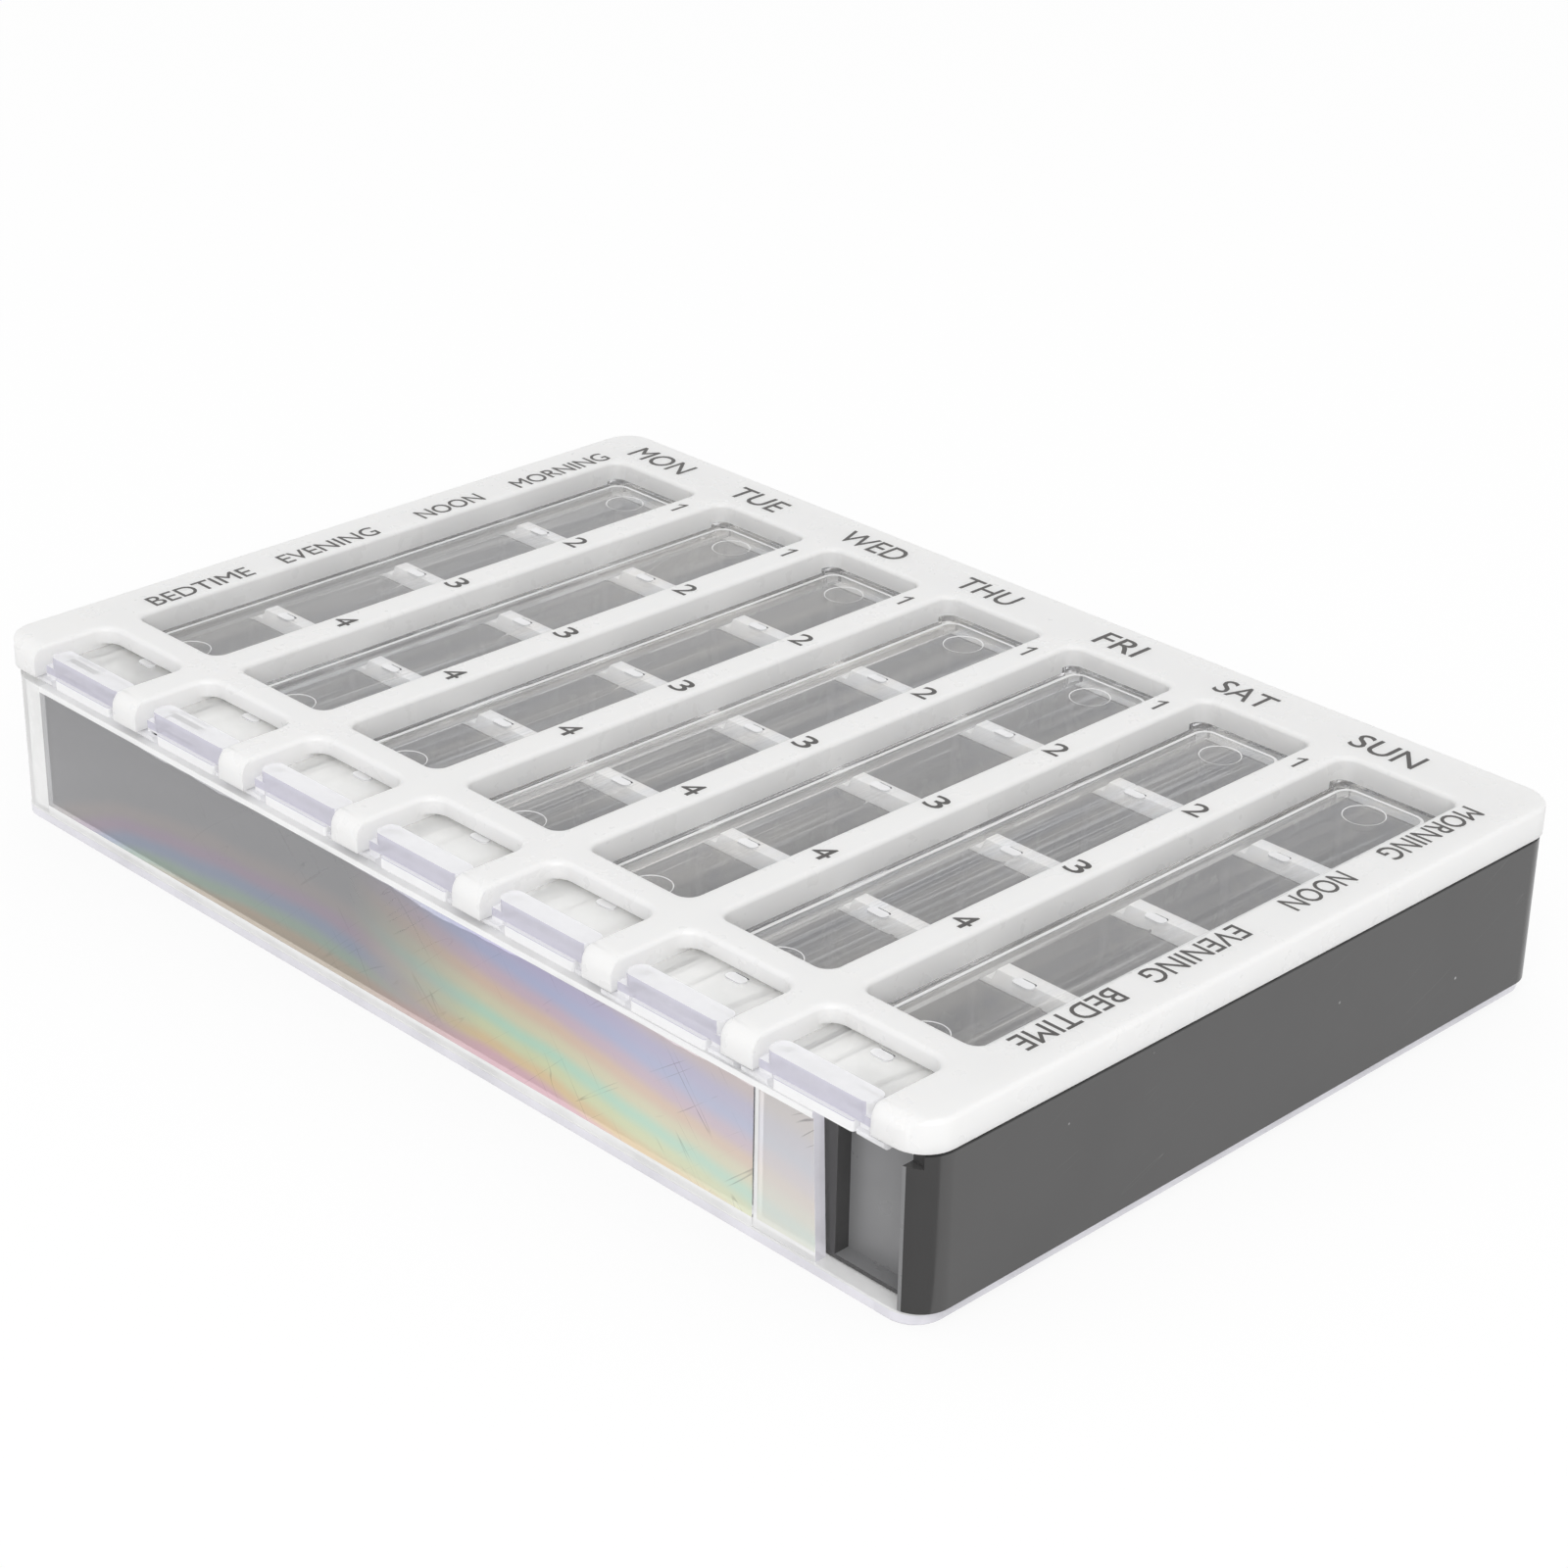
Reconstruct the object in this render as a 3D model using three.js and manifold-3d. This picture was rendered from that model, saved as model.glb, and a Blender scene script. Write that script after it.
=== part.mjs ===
// Weekly pill organizer: seven days by four doses, with sliding lids and a slide-off bottom cover.
// Millimetres, +Z up. X runs from Monday to Sunday, -Y is the front where the lids are pulled.
// The origin is at the middle of the underside.
import * as THREE from 'three';
import { mergeVertices } from 'three/addons/utils/BufferGeometryUtils.js';
import Module from 'manifold-3d';

const wasm = await Module();
wasm.setup();

// Layout of the week
const days = ['mon', 'tue', 'wed', 'thu', 'fri', 'sat', 'sun'];
const dosesPerDay = 4;

// Fits between pieces
const seatGap = 0.3;
const coverClearance = 0.35;
const cutOverrun = 1;

// Rounding of the meshes: a quarter turn has twice this count of steps
const cornerSteps = 3;
const smallCornerSteps = 1;
const edgeSteps = 2;
// Vertices lie on a fine lattice, so that faces meant to share a plane share it exactly
const latticeCount = 10000;

// Top frame
const frameTop = 31.4;
const frameCornerRadius = 5.5;
const frameEdgeRadius = 0.8;
const fingerNoseRadius = 2.7;
const skirtHeight = 4.9;
const skirtWall = 2.2;
const windowWidth = 21.5;
const windowBar = 6;
const windowCornerRadius = 2.5;
const windowWall = 1.5;
const windowFrontLap = 2.5;
const sideMargin = 9.5;
const backMargin = 11.75;
const frontBarWidth = 5.3;
const notchDepth = 14.45;
const notchCornerRadius = 3;

// Sliding lids
const lidDrop = 3.3;
const lidThickness = 1.3;
const lidBumpHeight = 0.25;
const lidBumpLength = 3.5;
const lidBumpWidth = 1.7;
const lidBumpLead = 1.8;
const lidRailWidth = 2.35;
const lidFlangeReach = 2.55;
const lidFlangeThickness = 1.3;
const lidFrontInset = 1.25;
const lipWidth = 19.1;
const lipDepth = 3.7;
const lipDrop = 1.35;
const lipInset = 0.8;
const lipCornerRadius = 1.5;
const earRadius = 1;
const openedLead = 1.1;
const openedDays = ['sat', 'sun'];

// Cell grid and wells
const cellLength = 25;
const cellWall = 2.5;
const cellCornerRadius = 1.2;
const gridThickness = 1;
const tongueWidth = 7.2;
const gridRimWall = 1.2;
const gridFrontEase = 0.8;
const wellChamberRoof = 2;

// Dark casing
const casingWall = 2;
const casingLeftRadius = 2.5;
const casingRightInset = 0.15;
const casingRightRadius = 5.2;
const pillarWidth = 6.6;
const pillarEdgeRadius = 1.2;
const pocketWidth = 11.2;
const pocketDepth = 2.5;
const pocketSill = 0.7;
const snapSlotWidth = 3.3;
const snapSlotHeight = 2.2;
const snapSlotDepth = 2.1;
const snapSlotInset = 1.7;

// Clear bottom cover
const coverInset = 0.6;
const coverFloor = 1.8;
const coverWall = 2.3;
const coverCornerRadius = 5;
const coverRightInset = 1.05;
const coverFrontEnd = 20.55;
const coverEndSlant = 1.1;
const coverBeadHeight = 1;
const coverBeadReach = 1.3;
const coverRidgeInset = 10.8;
const coverRidgeStep = 0.25;

// Heights worked out from the frame downwards
const skirtBottom = frameTop - skirtHeight;
const lidTop = frameTop - lidDrop;
const lidUnderside = lidTop - lidThickness;
const frontBarUnderside = lidTop + lidBumpHeight + seatGap;
const flangeTop = skirtBottom - seatGap;
const flangeUnderside = flangeTop - lidFlangeThickness;
const gridTop = flangeUnderside - seatGap;
const gridUnderside = gridTop - gridThickness;
const barTop = lidUnderside - seatGap;
const wellTop = gridUnderside - seatGap;
const wellBottom = coverFloor + seatGap;
const wallTop = skirtBottom - seatGap;

// Plan places
const dayPitch = windowWidth + windowBar;
const dosePitch = cellLength + cellWall;
const windowLength = dosesPerDay * dosePitch - cellWall - windowFrontLap;
const halfLength = ((days.length - 1) * dayPitch + windowWidth) / 2 + sideMargin;
const halfWidth = (backMargin + windowLength + frontBarWidth + notchDepth) / 2;
const windowBack = halfWidth - backMargin;
const windowFront = windowBack - windowLength;
const notchBack = notchDepth - halfWidth;
const coverHalfWidth = halfWidth - coverInset;
const coverLeft = coverInset - halfLength;
const casingHalfWidth = coverHalfWidth - coverWall - coverClearance;
const casingLeft = coverLeft + coverWall + coverClearance;
const casingRight = halfLength - casingRightInset;
const pillarLeft = casingRight - pillarWidth;
const pocketRight = pillarLeft - seatGap;
const pocketLeft = pocketRight - pocketWidth;
const gridHalfWidth = casingHalfWidth - gridFrontEase;
const gridRight = casingRight - casingWall - seatGap;
const lidHalfWidth = windowWidth / 2 - seatGap;
const railInner = lidHalfWidth - lidRailWidth;
const flangeOuter = lidHalfWidth + lidFlangeReach;
const lidFront = lidFrontInset - halfWidth;
const lidBack = windowBack - seatGap;
const pocketBack = casingHalfWidth - pocketDepth;
const columnHalfWidth = (dayPitch - seatGap) / 2;
const columnEnd = pocketBack - casingWall - seatGap;

const dayCentre = (index) => (index - (days.length - 1) / 2) * dayPitch;
const cellBack = (dose) => windowBack - dose * dosePitch;
const cellFront = (dose) => cellBack(dose) - cellLength;
const frontWallBack = cellFront(dosesPerDay - 1);
const frontWallFront = frontWallBack - cellWall;

// Solids
function toSolid(geometry) {
  geometry.deleteAttribute('normal');
  geometry.deleteAttribute('uv');
  const places = geometry.attributes.position.array;
  places.forEach((value, at) => {
    places[at] = Math.round(value * latticeCount) / latticeCount;
  });
  const merged = mergeVertices(geometry);
  const vertProperties = new Float32Array(merged.attributes.position.array);
  const triVerts = new Uint32Array(merged.index.array);
  return new wasm.Manifold(new wasm.Mesh({ numProp: 3, vertProperties, triVerts }));
}

function box(x0, x1, y0, y1, z0, z1) {
  const geometry = new THREE.BoxGeometry(x1 - x0, y1 - y0, z1 - z0);
  geometry.translate((x0 + x1) / 2, (y0 + y1) / 2, (z0 + z1) / 2);
  return toSolid(geometry);
}

// A rectangle in plan whose corners have the radii front-left, front-right, back-right, back-left
function roundedOutline(x0, x1, y0, y1, radii) {
  const [frontLeft, frontRight, backRight, backLeft] = radii;
  const quarter = Math.PI / 2;
  const shape = new THREE.Shape();
  shape.moveTo(x0 + frontLeft, y0);
  shape.lineTo(x1 - frontRight, y0);
  if (frontRight) shape.absarc(x1 - frontRight, y0 + frontRight, frontRight, -quarter, 0, false);
  shape.lineTo(x1, y1 - backRight);
  if (backRight) shape.absarc(x1 - backRight, y1 - backRight, backRight, 0, quarter, false);
  shape.lineTo(x0 + backLeft, y1);
  if (backLeft) shape.absarc(x0 + backLeft, y1 - backLeft, backLeft, quarter, 2 * quarter, false);
  shape.lineTo(x0, y0 + frontLeft);
  if (frontLeft) shape.absarc(x0 + frontLeft, y0 + frontLeft, frontLeft, 2 * quarter, 3 * quarter, false);
  return shape;
}

// An outline raised from z0 to z1, with rounded top and bottom edges when a radius is given
function prism(shape, z0, z1, edgeRadius = 0, steps = cornerSteps) {
  const geometry = new THREE.ExtrudeGeometry(shape, {
    depth: z1 - z0 - 2 * edgeRadius,
    bevelEnabled: edgeRadius > 0,
    bevelThickness: edgeRadius,
    bevelSize: edgeRadius,
    bevelOffset: -edgeRadius,
    bevelSegments: edgeSteps,
    curveSegments: steps,
  });
  geometry.translate(0, 0, z0 + edgeRadius);
  return toSolid(geometry);
}

function block(x0, x1, y0, y1, z0, z1, radii, edgeRadius = 0) {
  return prism(roundedOutline(x0, x1, y0, y1, radii), z0, z1, edgeRadius);
}

// A block with one small radius on all its upright corners
function softBlock(x0, x1, y0, y1, z0, z1, radius) {
  return prism(roundedOutline(x0, x1, y0, y1, all(radius)), z0, z1, 0, smallCornerSteps);
}

// A profile drawn in Y and Z, run along X
function alongX(shape, x0, x1) {
  const geometry = new THREE.ExtrudeGeometry(shape, {
    depth: x1 - x0,
    bevelEnabled: false,
    curveSegments: cornerSteps,
  });
  const axes = new THREE.Matrix4().makeBasis(
    new THREE.Vector3(0, 1, 0),
    new THREE.Vector3(0, 0, 1),
    new THREE.Vector3(1, 0, 0),
  );
  geometry.applyMatrix4(axes);
  geometry.translate(x0, 0, 0);
  return toSolid(geometry);
}

// A profile drawn in X and Z, run along Y
function alongY(shape, y0, y1) {
  const geometry = new THREE.ExtrudeGeometry(shape, {
    depth: y1 - y0,
    bevelEnabled: false,
    curveSegments: cornerSteps,
  });
  geometry.rotateX(Math.PI / 2);
  geometry.translate(0, y1, 0);
  return toSolid(geometry);
}

function named(name, solid, material) {
  const { vertProperties, triVerts } = solid.getMesh();
  const geometry = new THREE.BufferGeometry();
  geometry.setAttribute('position', new THREE.BufferAttribute(new Float32Array(vertProperties), 3));
  geometry.setIndex(new THREE.BufferAttribute(new Uint32Array(triVerts), 1));
  geometry.computeVertexNormals();
  const mesh = new THREE.Mesh(geometry, material);
  mesh.name = name;
  return mesh;
}

function standard(color, roughness, opacity = 1) {
  return new THREE.MeshStandardMaterial({
    color,
    roughness,
    metalness: 0,
    opacity,
    transparent: opacity < 1,
  });
}

function all(radius) {
  return [radius, radius, radius, radius];
}

// Two distances from the middle, put on one side of it and in rising order
function onSide(side, near, far) {
  return [Math.min(side * near, side * far), Math.max(side * near, side * far)];
}

// White top frame: plate, skirt, bars between the windows, and the fingers between the notches
function topFrame() {
  const noseTop = roundedOutline(-halfWidth, halfWidth + cutOverrun,
    skirtBottom, frameTop, [0, 0, 0, fingerNoseRadius]);
  const outer = block(-halfLength, halfLength, -halfWidth, halfWidth,
    skirtBottom - frameEdgeRadius, frameTop, all(frameCornerRadius), frameEdgeRadius);
  let frame = outer.intersect(alongX(noseTop, -halfLength, halfLength));
  const half = windowWidth / 2;
  const low = skirtBottom - cutOverrun;
  const high = frameTop + cutOverrun;
  const front = -halfWidth - cutOverrun;
  const skirtSide = halfLength - skirtWall;
  const skirtBack = halfWidth - skirtWall;
  days.forEach((day, index) => {
    const x = dayCentre(index);
    const round = all(windowCornerRadius);
    frame = frame.subtract(block(x - half, x + half, windowFront, windowBack, low, high, round));
    const notch = [0, 0, notchCornerRadius, notchCornerRadius];
    frame = frame.subtract(block(x - half, x + half, front, notchBack, low, high, notch));
    const channelBack = windowFront + windowCornerRadius;
    frame = frame.subtract(box(x - half, x + half, front, channelBack, low, frontBarUnderside));
  });
  const sideInner = dayCentre(days.length - 1) + half + windowWall;
  const backInner = windowBack + windowWall;
  [-1, 1].forEach((side) => {
    const [roomA, roomB] = onSide(side, sideInner, skirtSide);
    frame = frame.subtract(box(roomA, roomB, notchBack, skirtBack, low, frontBarUnderside));
  });
  return frame.subtract(box(-skirtSide, skirtSide, backInner, skirtBack, low, frontBarUnderside));
}

// One clear lid, drawn shut and centred on its day: a plate in the window with a rail under each bar
function slidingLid() {
  const earFront = lidFront;
  const lipFront = earFront + lipInset;
  const backRadius = windowCornerRadius - seatGap;
  const body = block(-lidHalfWidth, lidHalfWidth, lipFront, lidBack,
    flangeUnderside, lidTop, [0, 0, backRadius, backRadius]);
  const channel = box(-railInner, railInner, lipFront - cutOverrun, lidBack + cutOverrun,
    flangeUnderside - cutOverrun, lidUnderside);
  let lid = body.subtract(channel);
  const flangeProfile = roundedOutline(earFront, lidBack - backRadius,
    flangeUnderside, flangeTop, [earRadius, 0, 0, 0]);
  lid = lid.add(alongX(flangeProfile, railInner, flangeOuter));
  lid = lid.add(alongX(flangeProfile, -flangeOuter, -railInner));
  const lip = lipWidth / 2;
  const round = all(lipCornerRadius);
  lid = lid.add(block(-lip, lip, lipFront, lipFront + lipDepth, lidUnderside, frameTop - lipDrop, round));
  for (let dose = 0; dose < dosesPerDay; dose += 1) {
    const y = cellFront(dose) - cellWall / 2 - lidBumpLead;
    const bump = softBlock(-lidBumpLength / 2, lidBumpLength / 2, y - lidBumpWidth / 2,
      y + lidBumpWidth / 2, lidUnderside, lidTop + lidBumpHeight, lidBumpWidth / 2 - lidBumpHeight);
    lid = lid.add(bump);
  }
  return lid;
}

// White grid on top of the wells, with raised bars, an apron with tongues, and a locating rim
function cellGrid() {
  const rimTop = frontBarUnderside - seatGap;
  const cornerRadius = casingLeftRadius;
  const deckRadii = [cornerRadius, 0, 0, cornerRadius];
  let grid = block(casingLeft, gridRight, -gridHalfWidth, gridHalfWidth, gridUnderside, gridTop, deckRadii);
  const rimFront = notchBack + seatGap;
  const rimOuter = block(casingLeft, gridRight, rimFront, gridHalfWidth, gridUnderside, rimTop,
    [0, 0, 0, cornerRadius]);
  const rimInner = box(casingLeft + gridRimWall, gridRight - gridRimWall, rimFront - cutOverrun,
    gridHalfWidth - gridRimWall, gridUnderside - cutOverrun, rimTop + cutOverrun);
  grid = grid.add(rimOuter.subtract(rimInner));
  const half = windowWidth / 2;
  const barHalf = railInner - seatGap;
  const tongue = tongueWidth / 2;
  days.forEach((day, index) => {
    const x = dayCentre(index);
    for (let dose = 0; dose < dosesPerDay; dose += 1) {
      const last = dose === dosesPerDay - 1;
      const front = cellFront(dose) - (last ? cellWall - seatGap : 0);
      grid = grid.subtract(softBlock(x - half, x + half, front, cellBack(dose),
        gridUnderside - cutOverrun, gridTop + cutOverrun, cellCornerRadius));
      if (!last) {
        grid = grid.add(box(x - barHalf, x + barHalf, cellFront(dose) - cellWall, cellFront(dose),
          gridUnderside, barTop));
      }
    }
    grid = grid.add(box(x - tongue, x + tongue, -gridHalfWidth, frontWallBack, gridUnderside, barTop));
  });
  return grid;
}

// Dark wells of one day, open above and below, centred on the day
function wellColumn() {
  const half = windowWidth / 2;
  let column = box(-columnHalfWidth, columnHalfWidth, -columnEnd, columnEnd, wellBottom, wellTop);
  for (let dose = 0; dose < dosesPerDay; dose += 1) {
    column = column.subtract(softBlock(-half, half, cellFront(dose), cellBack(dose),
      wellBottom - cutOverrun, wellTop + cutOverrun, cellCornerRadius));
  }
  return column.subtract(box(-half, half, cellWall - columnEnd, frontWallFront,
    wellBottom - cutOverrun, wellTop - wellChamberRoof));
}

// Dark casing: low walls on three sides, each long one stepped in to make a finger pocket
function casing() {
  const open = all(0);
  open[0] = casingLeftRadius;
  open[3] = casingLeftRadius;
  const innerHalf = casingHalfWidth - casingWall;
  const cavity = box(casingLeft + casingWall, pocketRight + cutOverrun, -innerHalf, innerHalf,
    wellBottom - cutOverrun, wellTop + cutOverrun);
  let shell = block(casingLeft, pocketRight, -casingHalfWidth, casingHalfWidth, wellBottom, wellTop, open);
  shell = shell.subtract(cavity);
  [-1, 1].forEach((side) => {
    const [wallA, wallB] = onSide(side, innerHalf + casingWall / 2, pocketBack - casingWall);
    shell = shell.add(box(pocketLeft - casingWall, pocketRight, wallA, wallB, wellBottom, wellTop));
    const [cutA, cutB] = onSide(side, casingHalfWidth + cutOverrun, pocketBack);
    shell = shell.subtract(box(pocketLeft, pocketRight + cutOverrun, cutA, cutB,
      wellBottom + pocketSill, wellTop + cutOverrun));
  });
  return shell;
}

// Dark right end: the tall end wall with a proud pillar at each side
function casingEnd() {
  const outer = block(pillarLeft, casingRight, -coverHalfWidth, coverHalfWidth, wellBottom, wallTop,
    [pillarEdgeRadius, casingRightRadius, casingRightRadius, pillarEdgeRadius]);
  const innerRight = casingRight - casingWall;
  const cavity = box(pillarLeft - cutOverrun, innerRight, -pocketBack, pocketBack,
    wellBottom - cutOverrun, wallTop + cutOverrun);
  const gridHalf = gridHalfWidth + seatGap;
  const gridRoom = box(pillarLeft - cutOverrun, innerRight, -gridHalf, gridHalf,
    wellTop, wallTop + cutOverrun);
  let end = outer.subtract(cavity).subtract(gridRoom);
  const slotRight = casingRight - snapSlotInset;
  [-1, 1].forEach((side) => {
    const [slotA, slotB] = onSide(side, coverHalfWidth + cutOverrun, coverHalfWidth - snapSlotDepth);
    end = end.subtract(box(slotRight - snapSlotWidth, slotRight, slotA, slotB,
      wallTop - snapSlotHeight, wallTop + cutOverrun));
  });
  return end;
}

// Clear bottom cover: base, left wall and two long walls whose top beads hook over the casing's walls
function bottomCover() {
  const baseRight = halfLength - coverRightInset;
  const base = block(coverLeft, baseRight, -coverHalfWidth, coverHalfWidth, 0, coverFloor,
    all(coverCornerRadius));
  const outer = block(coverLeft, baseRight, -coverHalfWidth, coverHalfWidth, 0, wallTop,
    all(coverCornerRadius));
  const innerRadius = coverCornerRadius - coverWall;
  const innerHalf = coverHalfWidth - coverWall;
  const room = block(coverLeft + coverWall, baseRight + cutOverrun, -innerHalf, innerHalf,
    -cutOverrun, wallTop + cutOverrun, [innerRadius, 0, 0, innerRadius]);
  const endTop = halfLength - coverFrontEnd;
  const endBottom = endTop + coverEndSlant;
  const slant = new THREE.Shape();
  slant.moveTo(coverLeft - cutOverrun, 0);
  slant.lineTo(endBottom, 0);
  slant.lineTo(endTop, gridTop);
  slant.lineTo(endTop, wallTop + cutOverrun);
  slant.lineTo(coverLeft - cutOverrun, wallTop + cutOverrun);
  const frontRoom = box(coverLeft + coverWall + seatGap, baseRight, -halfWidth, 0,
    gridTop, wallTop + cutOverrun);
  const walls = outer.subtract(room).intersect(alongY(slant, -halfWidth, halfWidth));
  let cover = base.add(walls.subtract(frontRoom));
  const beadInner = gridHalfWidth + seatGap;
  const beadLeft = casingLeft + casingLeftRadius;
  const ridge = endTop - coverRidgeInset;
  [-1, 1].forEach((side) => {
    const [beadA, beadB] = onSide(side, beadInner, coverHalfWidth - coverWall / 2);
    cover = cover.add(box(beadLeft, endTop + coverBeadReach, beadA, beadB,
      gridTop - coverBeadHeight, gridTop));
    const [stepA, stepB] = onSide(side, coverHalfWidth - coverRidgeStep, coverHalfWidth + cutOverrun);
    cover = cover.subtract(box(ridge, endBottom + cutOverrun, stepA, stepB, coverFloor,
      gridTop - coverBeadHeight));
  });
  return cover;
}

const white = 0xf4f4f2;
const milk = 0xeeeeea;
const clear = 0xe6e9ee;
const slate = 0x4a4a4b;

const organizer = new THREE.Group();
organizer.add(named('top_frame', topFrame(), standard(white, 0.35)));
organizer.add(named('cell_grid', cellGrid(), standard(milk, 0.4)));
organizer.add(named('casing', casing(), standard(slate, 0.3)));
organizer.add(named('casing_end', casingEnd(), standard(slate, 0.3)));
organizer.add(named('bottom_cover', bottomCover(), standard(clear, 0.08, 0.3)));
days.forEach((day, index) => {
  const wells = named(`wells_${day}`, wellColumn(), standard(slate, 0.3));
  wells.position.x = dayCentre(index);
  organizer.add(wells);
  const lid = named(`lid_${day}`, slidingLid(), standard(clear, 0.06, 0.3));
  lid.position.x = dayCentre(index);
  lid.position.y = openedDays.includes(day) ? -openedLead : 0;
  organizer.add(lid);
});

export default organizer;
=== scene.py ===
# %% [markdown]
# # A weekly pill organizer, seven days by four doses
# The organizer is a flat box of injection moulded plastic. A white top frame carries the days and doses,
# seven clear lids slide under its bars, dark wells hold the doses, and a clear cover slides over the dark
# casing from the left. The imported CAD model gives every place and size. This script gives the looks: it
# replaces the plain solids with softened, finished pieces, and paints each plastic with nodes.

# %% Load the frame
import math

import bpy
from mathutils import Matrix, Vector


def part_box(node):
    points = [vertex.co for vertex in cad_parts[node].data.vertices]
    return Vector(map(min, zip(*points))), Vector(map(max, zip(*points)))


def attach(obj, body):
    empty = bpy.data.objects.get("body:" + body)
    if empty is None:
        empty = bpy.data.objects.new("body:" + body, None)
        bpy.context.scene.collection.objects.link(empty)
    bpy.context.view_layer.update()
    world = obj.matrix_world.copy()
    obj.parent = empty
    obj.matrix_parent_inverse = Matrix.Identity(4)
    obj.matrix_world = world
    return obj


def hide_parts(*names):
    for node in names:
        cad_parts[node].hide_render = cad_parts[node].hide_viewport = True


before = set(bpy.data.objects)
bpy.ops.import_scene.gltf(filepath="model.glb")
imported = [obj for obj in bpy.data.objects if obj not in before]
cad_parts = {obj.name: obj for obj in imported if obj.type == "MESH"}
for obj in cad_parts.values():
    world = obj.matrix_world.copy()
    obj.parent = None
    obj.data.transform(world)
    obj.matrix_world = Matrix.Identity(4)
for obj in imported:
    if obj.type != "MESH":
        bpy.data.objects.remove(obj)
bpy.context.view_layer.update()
mm = 0.001

# %% [markdown]
# ## The camera
# The picture is taken from the front right, a little above the box, with a long lens. A camera is best
# placed by the three directions that it sees: right, up and back. They are the columns of its matrix, so
# one matrix sets both where it stands and how it is turned.

# %% Camera
camera_place = Vector((0.35596, -0.34622, 0.26543))
camera_right = Vector((0.69897891, 0.71492532, 0.01761442))
camera_up = Vector((-0.32893127, 0.29952873, 0.89559296))
camera_back = camera_right.cross(camera_up)
lens_length = 81.6
film_width = 36

scene = bpy.context.scene
camera_data = bpy.data.cameras.new("camera")
camera_data.lens = lens_length
camera_data.sensor_width = film_width
camera = bpy.data.objects.new("camera", camera_data)
scene.collection.objects.link(camera)
turn = Matrix((camera_right, camera_up, camera_back)).transposed()
camera.matrix_world = Matrix.Translation(camera_place) @ turn.to_4x4()
scene.camera = camera
print("camera looks along", tuple(round(value, 3) for value in -camera_back))

# %% [markdown]
# ## Wiring nodes
# A finish, or the light of a room, is a small net of nodes in Blender. It could be wired by hand, one node
# and one link at a time, but then the same four lines come back a hundred times. These helpers add a node
# with all its settings, do a sum, and mix two colours, so each finish below reads like a recipe. An input is
# either a fixed value or a socket, which is a value that changes from place to place.


# %% Node helpers
def fill(holder, inlet, value):
    """Give an input of a node a number, three numbers of a colour, or a link from a socket."""
    if isinstance(value, (int, float)):
        inlet.default_value = value
    elif isinstance(value, tuple):
        inlet.default_value = (*value, 1)
    else:
        holder.node_tree.links.new(value, inlet)


def add_node(holder, kind, settings=None, inputs=None, links=None):
    """A node of that kind in a paint or a room, with its settings, fixed inputs and linked inputs."""
    node = holder.node_tree.nodes.new(kind)
    for key, value in (settings or {}).items():
        setattr(node, key, value)
    for key, value in (inputs or {}).items():
        node.inputs[key].default_value = value
    for key, socket in (links or {}).items():
        holder.node_tree.links.new(socket, node.inputs[key])
    return node


def maths(holder, operation, first, second=None):
    """One sum of one or two values, each a socket or a number."""
    node = add_node(holder, "ShaderNodeMath", {"operation": operation})
    fill(holder, node.inputs[0], first)
    if second is not None:
        fill(holder, node.inputs[1], second)
    return node.outputs[0]


def blend_colours(paint, share, first, second):
    """Two colours mixed by a share. A colour is a socket or three numbers."""
    node = add_node(paint, "ShaderNodeMix", {"data_type": "RGBA"})
    fill(paint, node.inputs[0], share)
    fill(paint, node.inputs[6], first)
    fill(paint, node.inputs[7], second)
    return node.outputs[2]


# %% [markdown]
# ## The room
# Clear plastic shows its surroundings more than itself, so the room matters as much as the lamp. The room
# lights the box with an even pale grey, but to the eye, in a mirror or through a pane it is white. Turning
# the room up would give the same white and wash out the shading, so the two are kept apart: the kind of ray
# chooses between them.

# %% Room
room_level = 0.68
white = (1, 1, 1, 1)
scene.view_settings.view_transform = "Standard"


def bare_nodes(holder):
    """The paint or room with an empty net of nodes."""
    holder.use_nodes = True
    holder.node_tree.nodes.clear()
    return holder


def show_apart(holder, lighting, seen, seen_share, outlet):
    """One look for scattered light, and a share of another for the eye, mirrors and clear plastic."""
    rays = add_node(holder, "ShaderNodeLightPath").outputs
    eye = maths(holder, "MAXIMUM", rays["Is Camera Ray"], rays["Is Glossy Ray"])
    any_view = maths(holder, "MAXIMUM", eye, rays["Is Transmission Ray"])
    share = maths(holder, "MULTIPLY", any_view, seen_share)
    both = add_node(holder, "ShaderNodeMixShader",
                    links={0: share, 1: lighting.outputs[0], 2: seen.outputs[0]})
    add_node(holder, outlet, links={"Surface": both.outputs[0]})


room = bare_nodes(bpy.data.worlds.new("pale_room"))
scene.world = room
room_light = add_node(room, "ShaderNodeBackground", inputs={"Color": white, "Strength": room_level})
room_seen = add_node(room, "ShaderNodeBackground", inputs={"Color": white, "Strength": 1})
show_apart(room, room_light, room_seen, 1, "ShaderNodeOutputWorld")
print("room level", room_level)

# %% [markdown]
# ## The lamp
# A small lamp would give hard shadows, and one from straight above would leave the walls dark. One large
# soft square at the front right reaches the white walls inside the windows as well as the top.

# %% Lamp
lamp_power = 16.2
lamp_size = 1.6
lamp_place = Vector((1.1, -1.1, 1.2))

bpy.ops.object.select_all(action="DESELECT")
bpy.ops.object.light_add(type="AREA", location=lamp_place)
softbox = bpy.context.object
softbox.name = "softbox"
softbox.data.shape = "SQUARE"
softbox.data.size = lamp_size
softbox.data.energy = lamp_power
softbox.rotation_euler = lamp_place.to_track_quat("Z", "Y").to_euler()
print("one lamp of", lamp_power, "W,", lamp_size, "m wide")

# %% [markdown]
# ## The floor
# The floor is a wide plane a hair under the box. It looks white and still takes a soft shadow, because only
# a part of its brightness is its own glow and the rest is light that falls on it.

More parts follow.
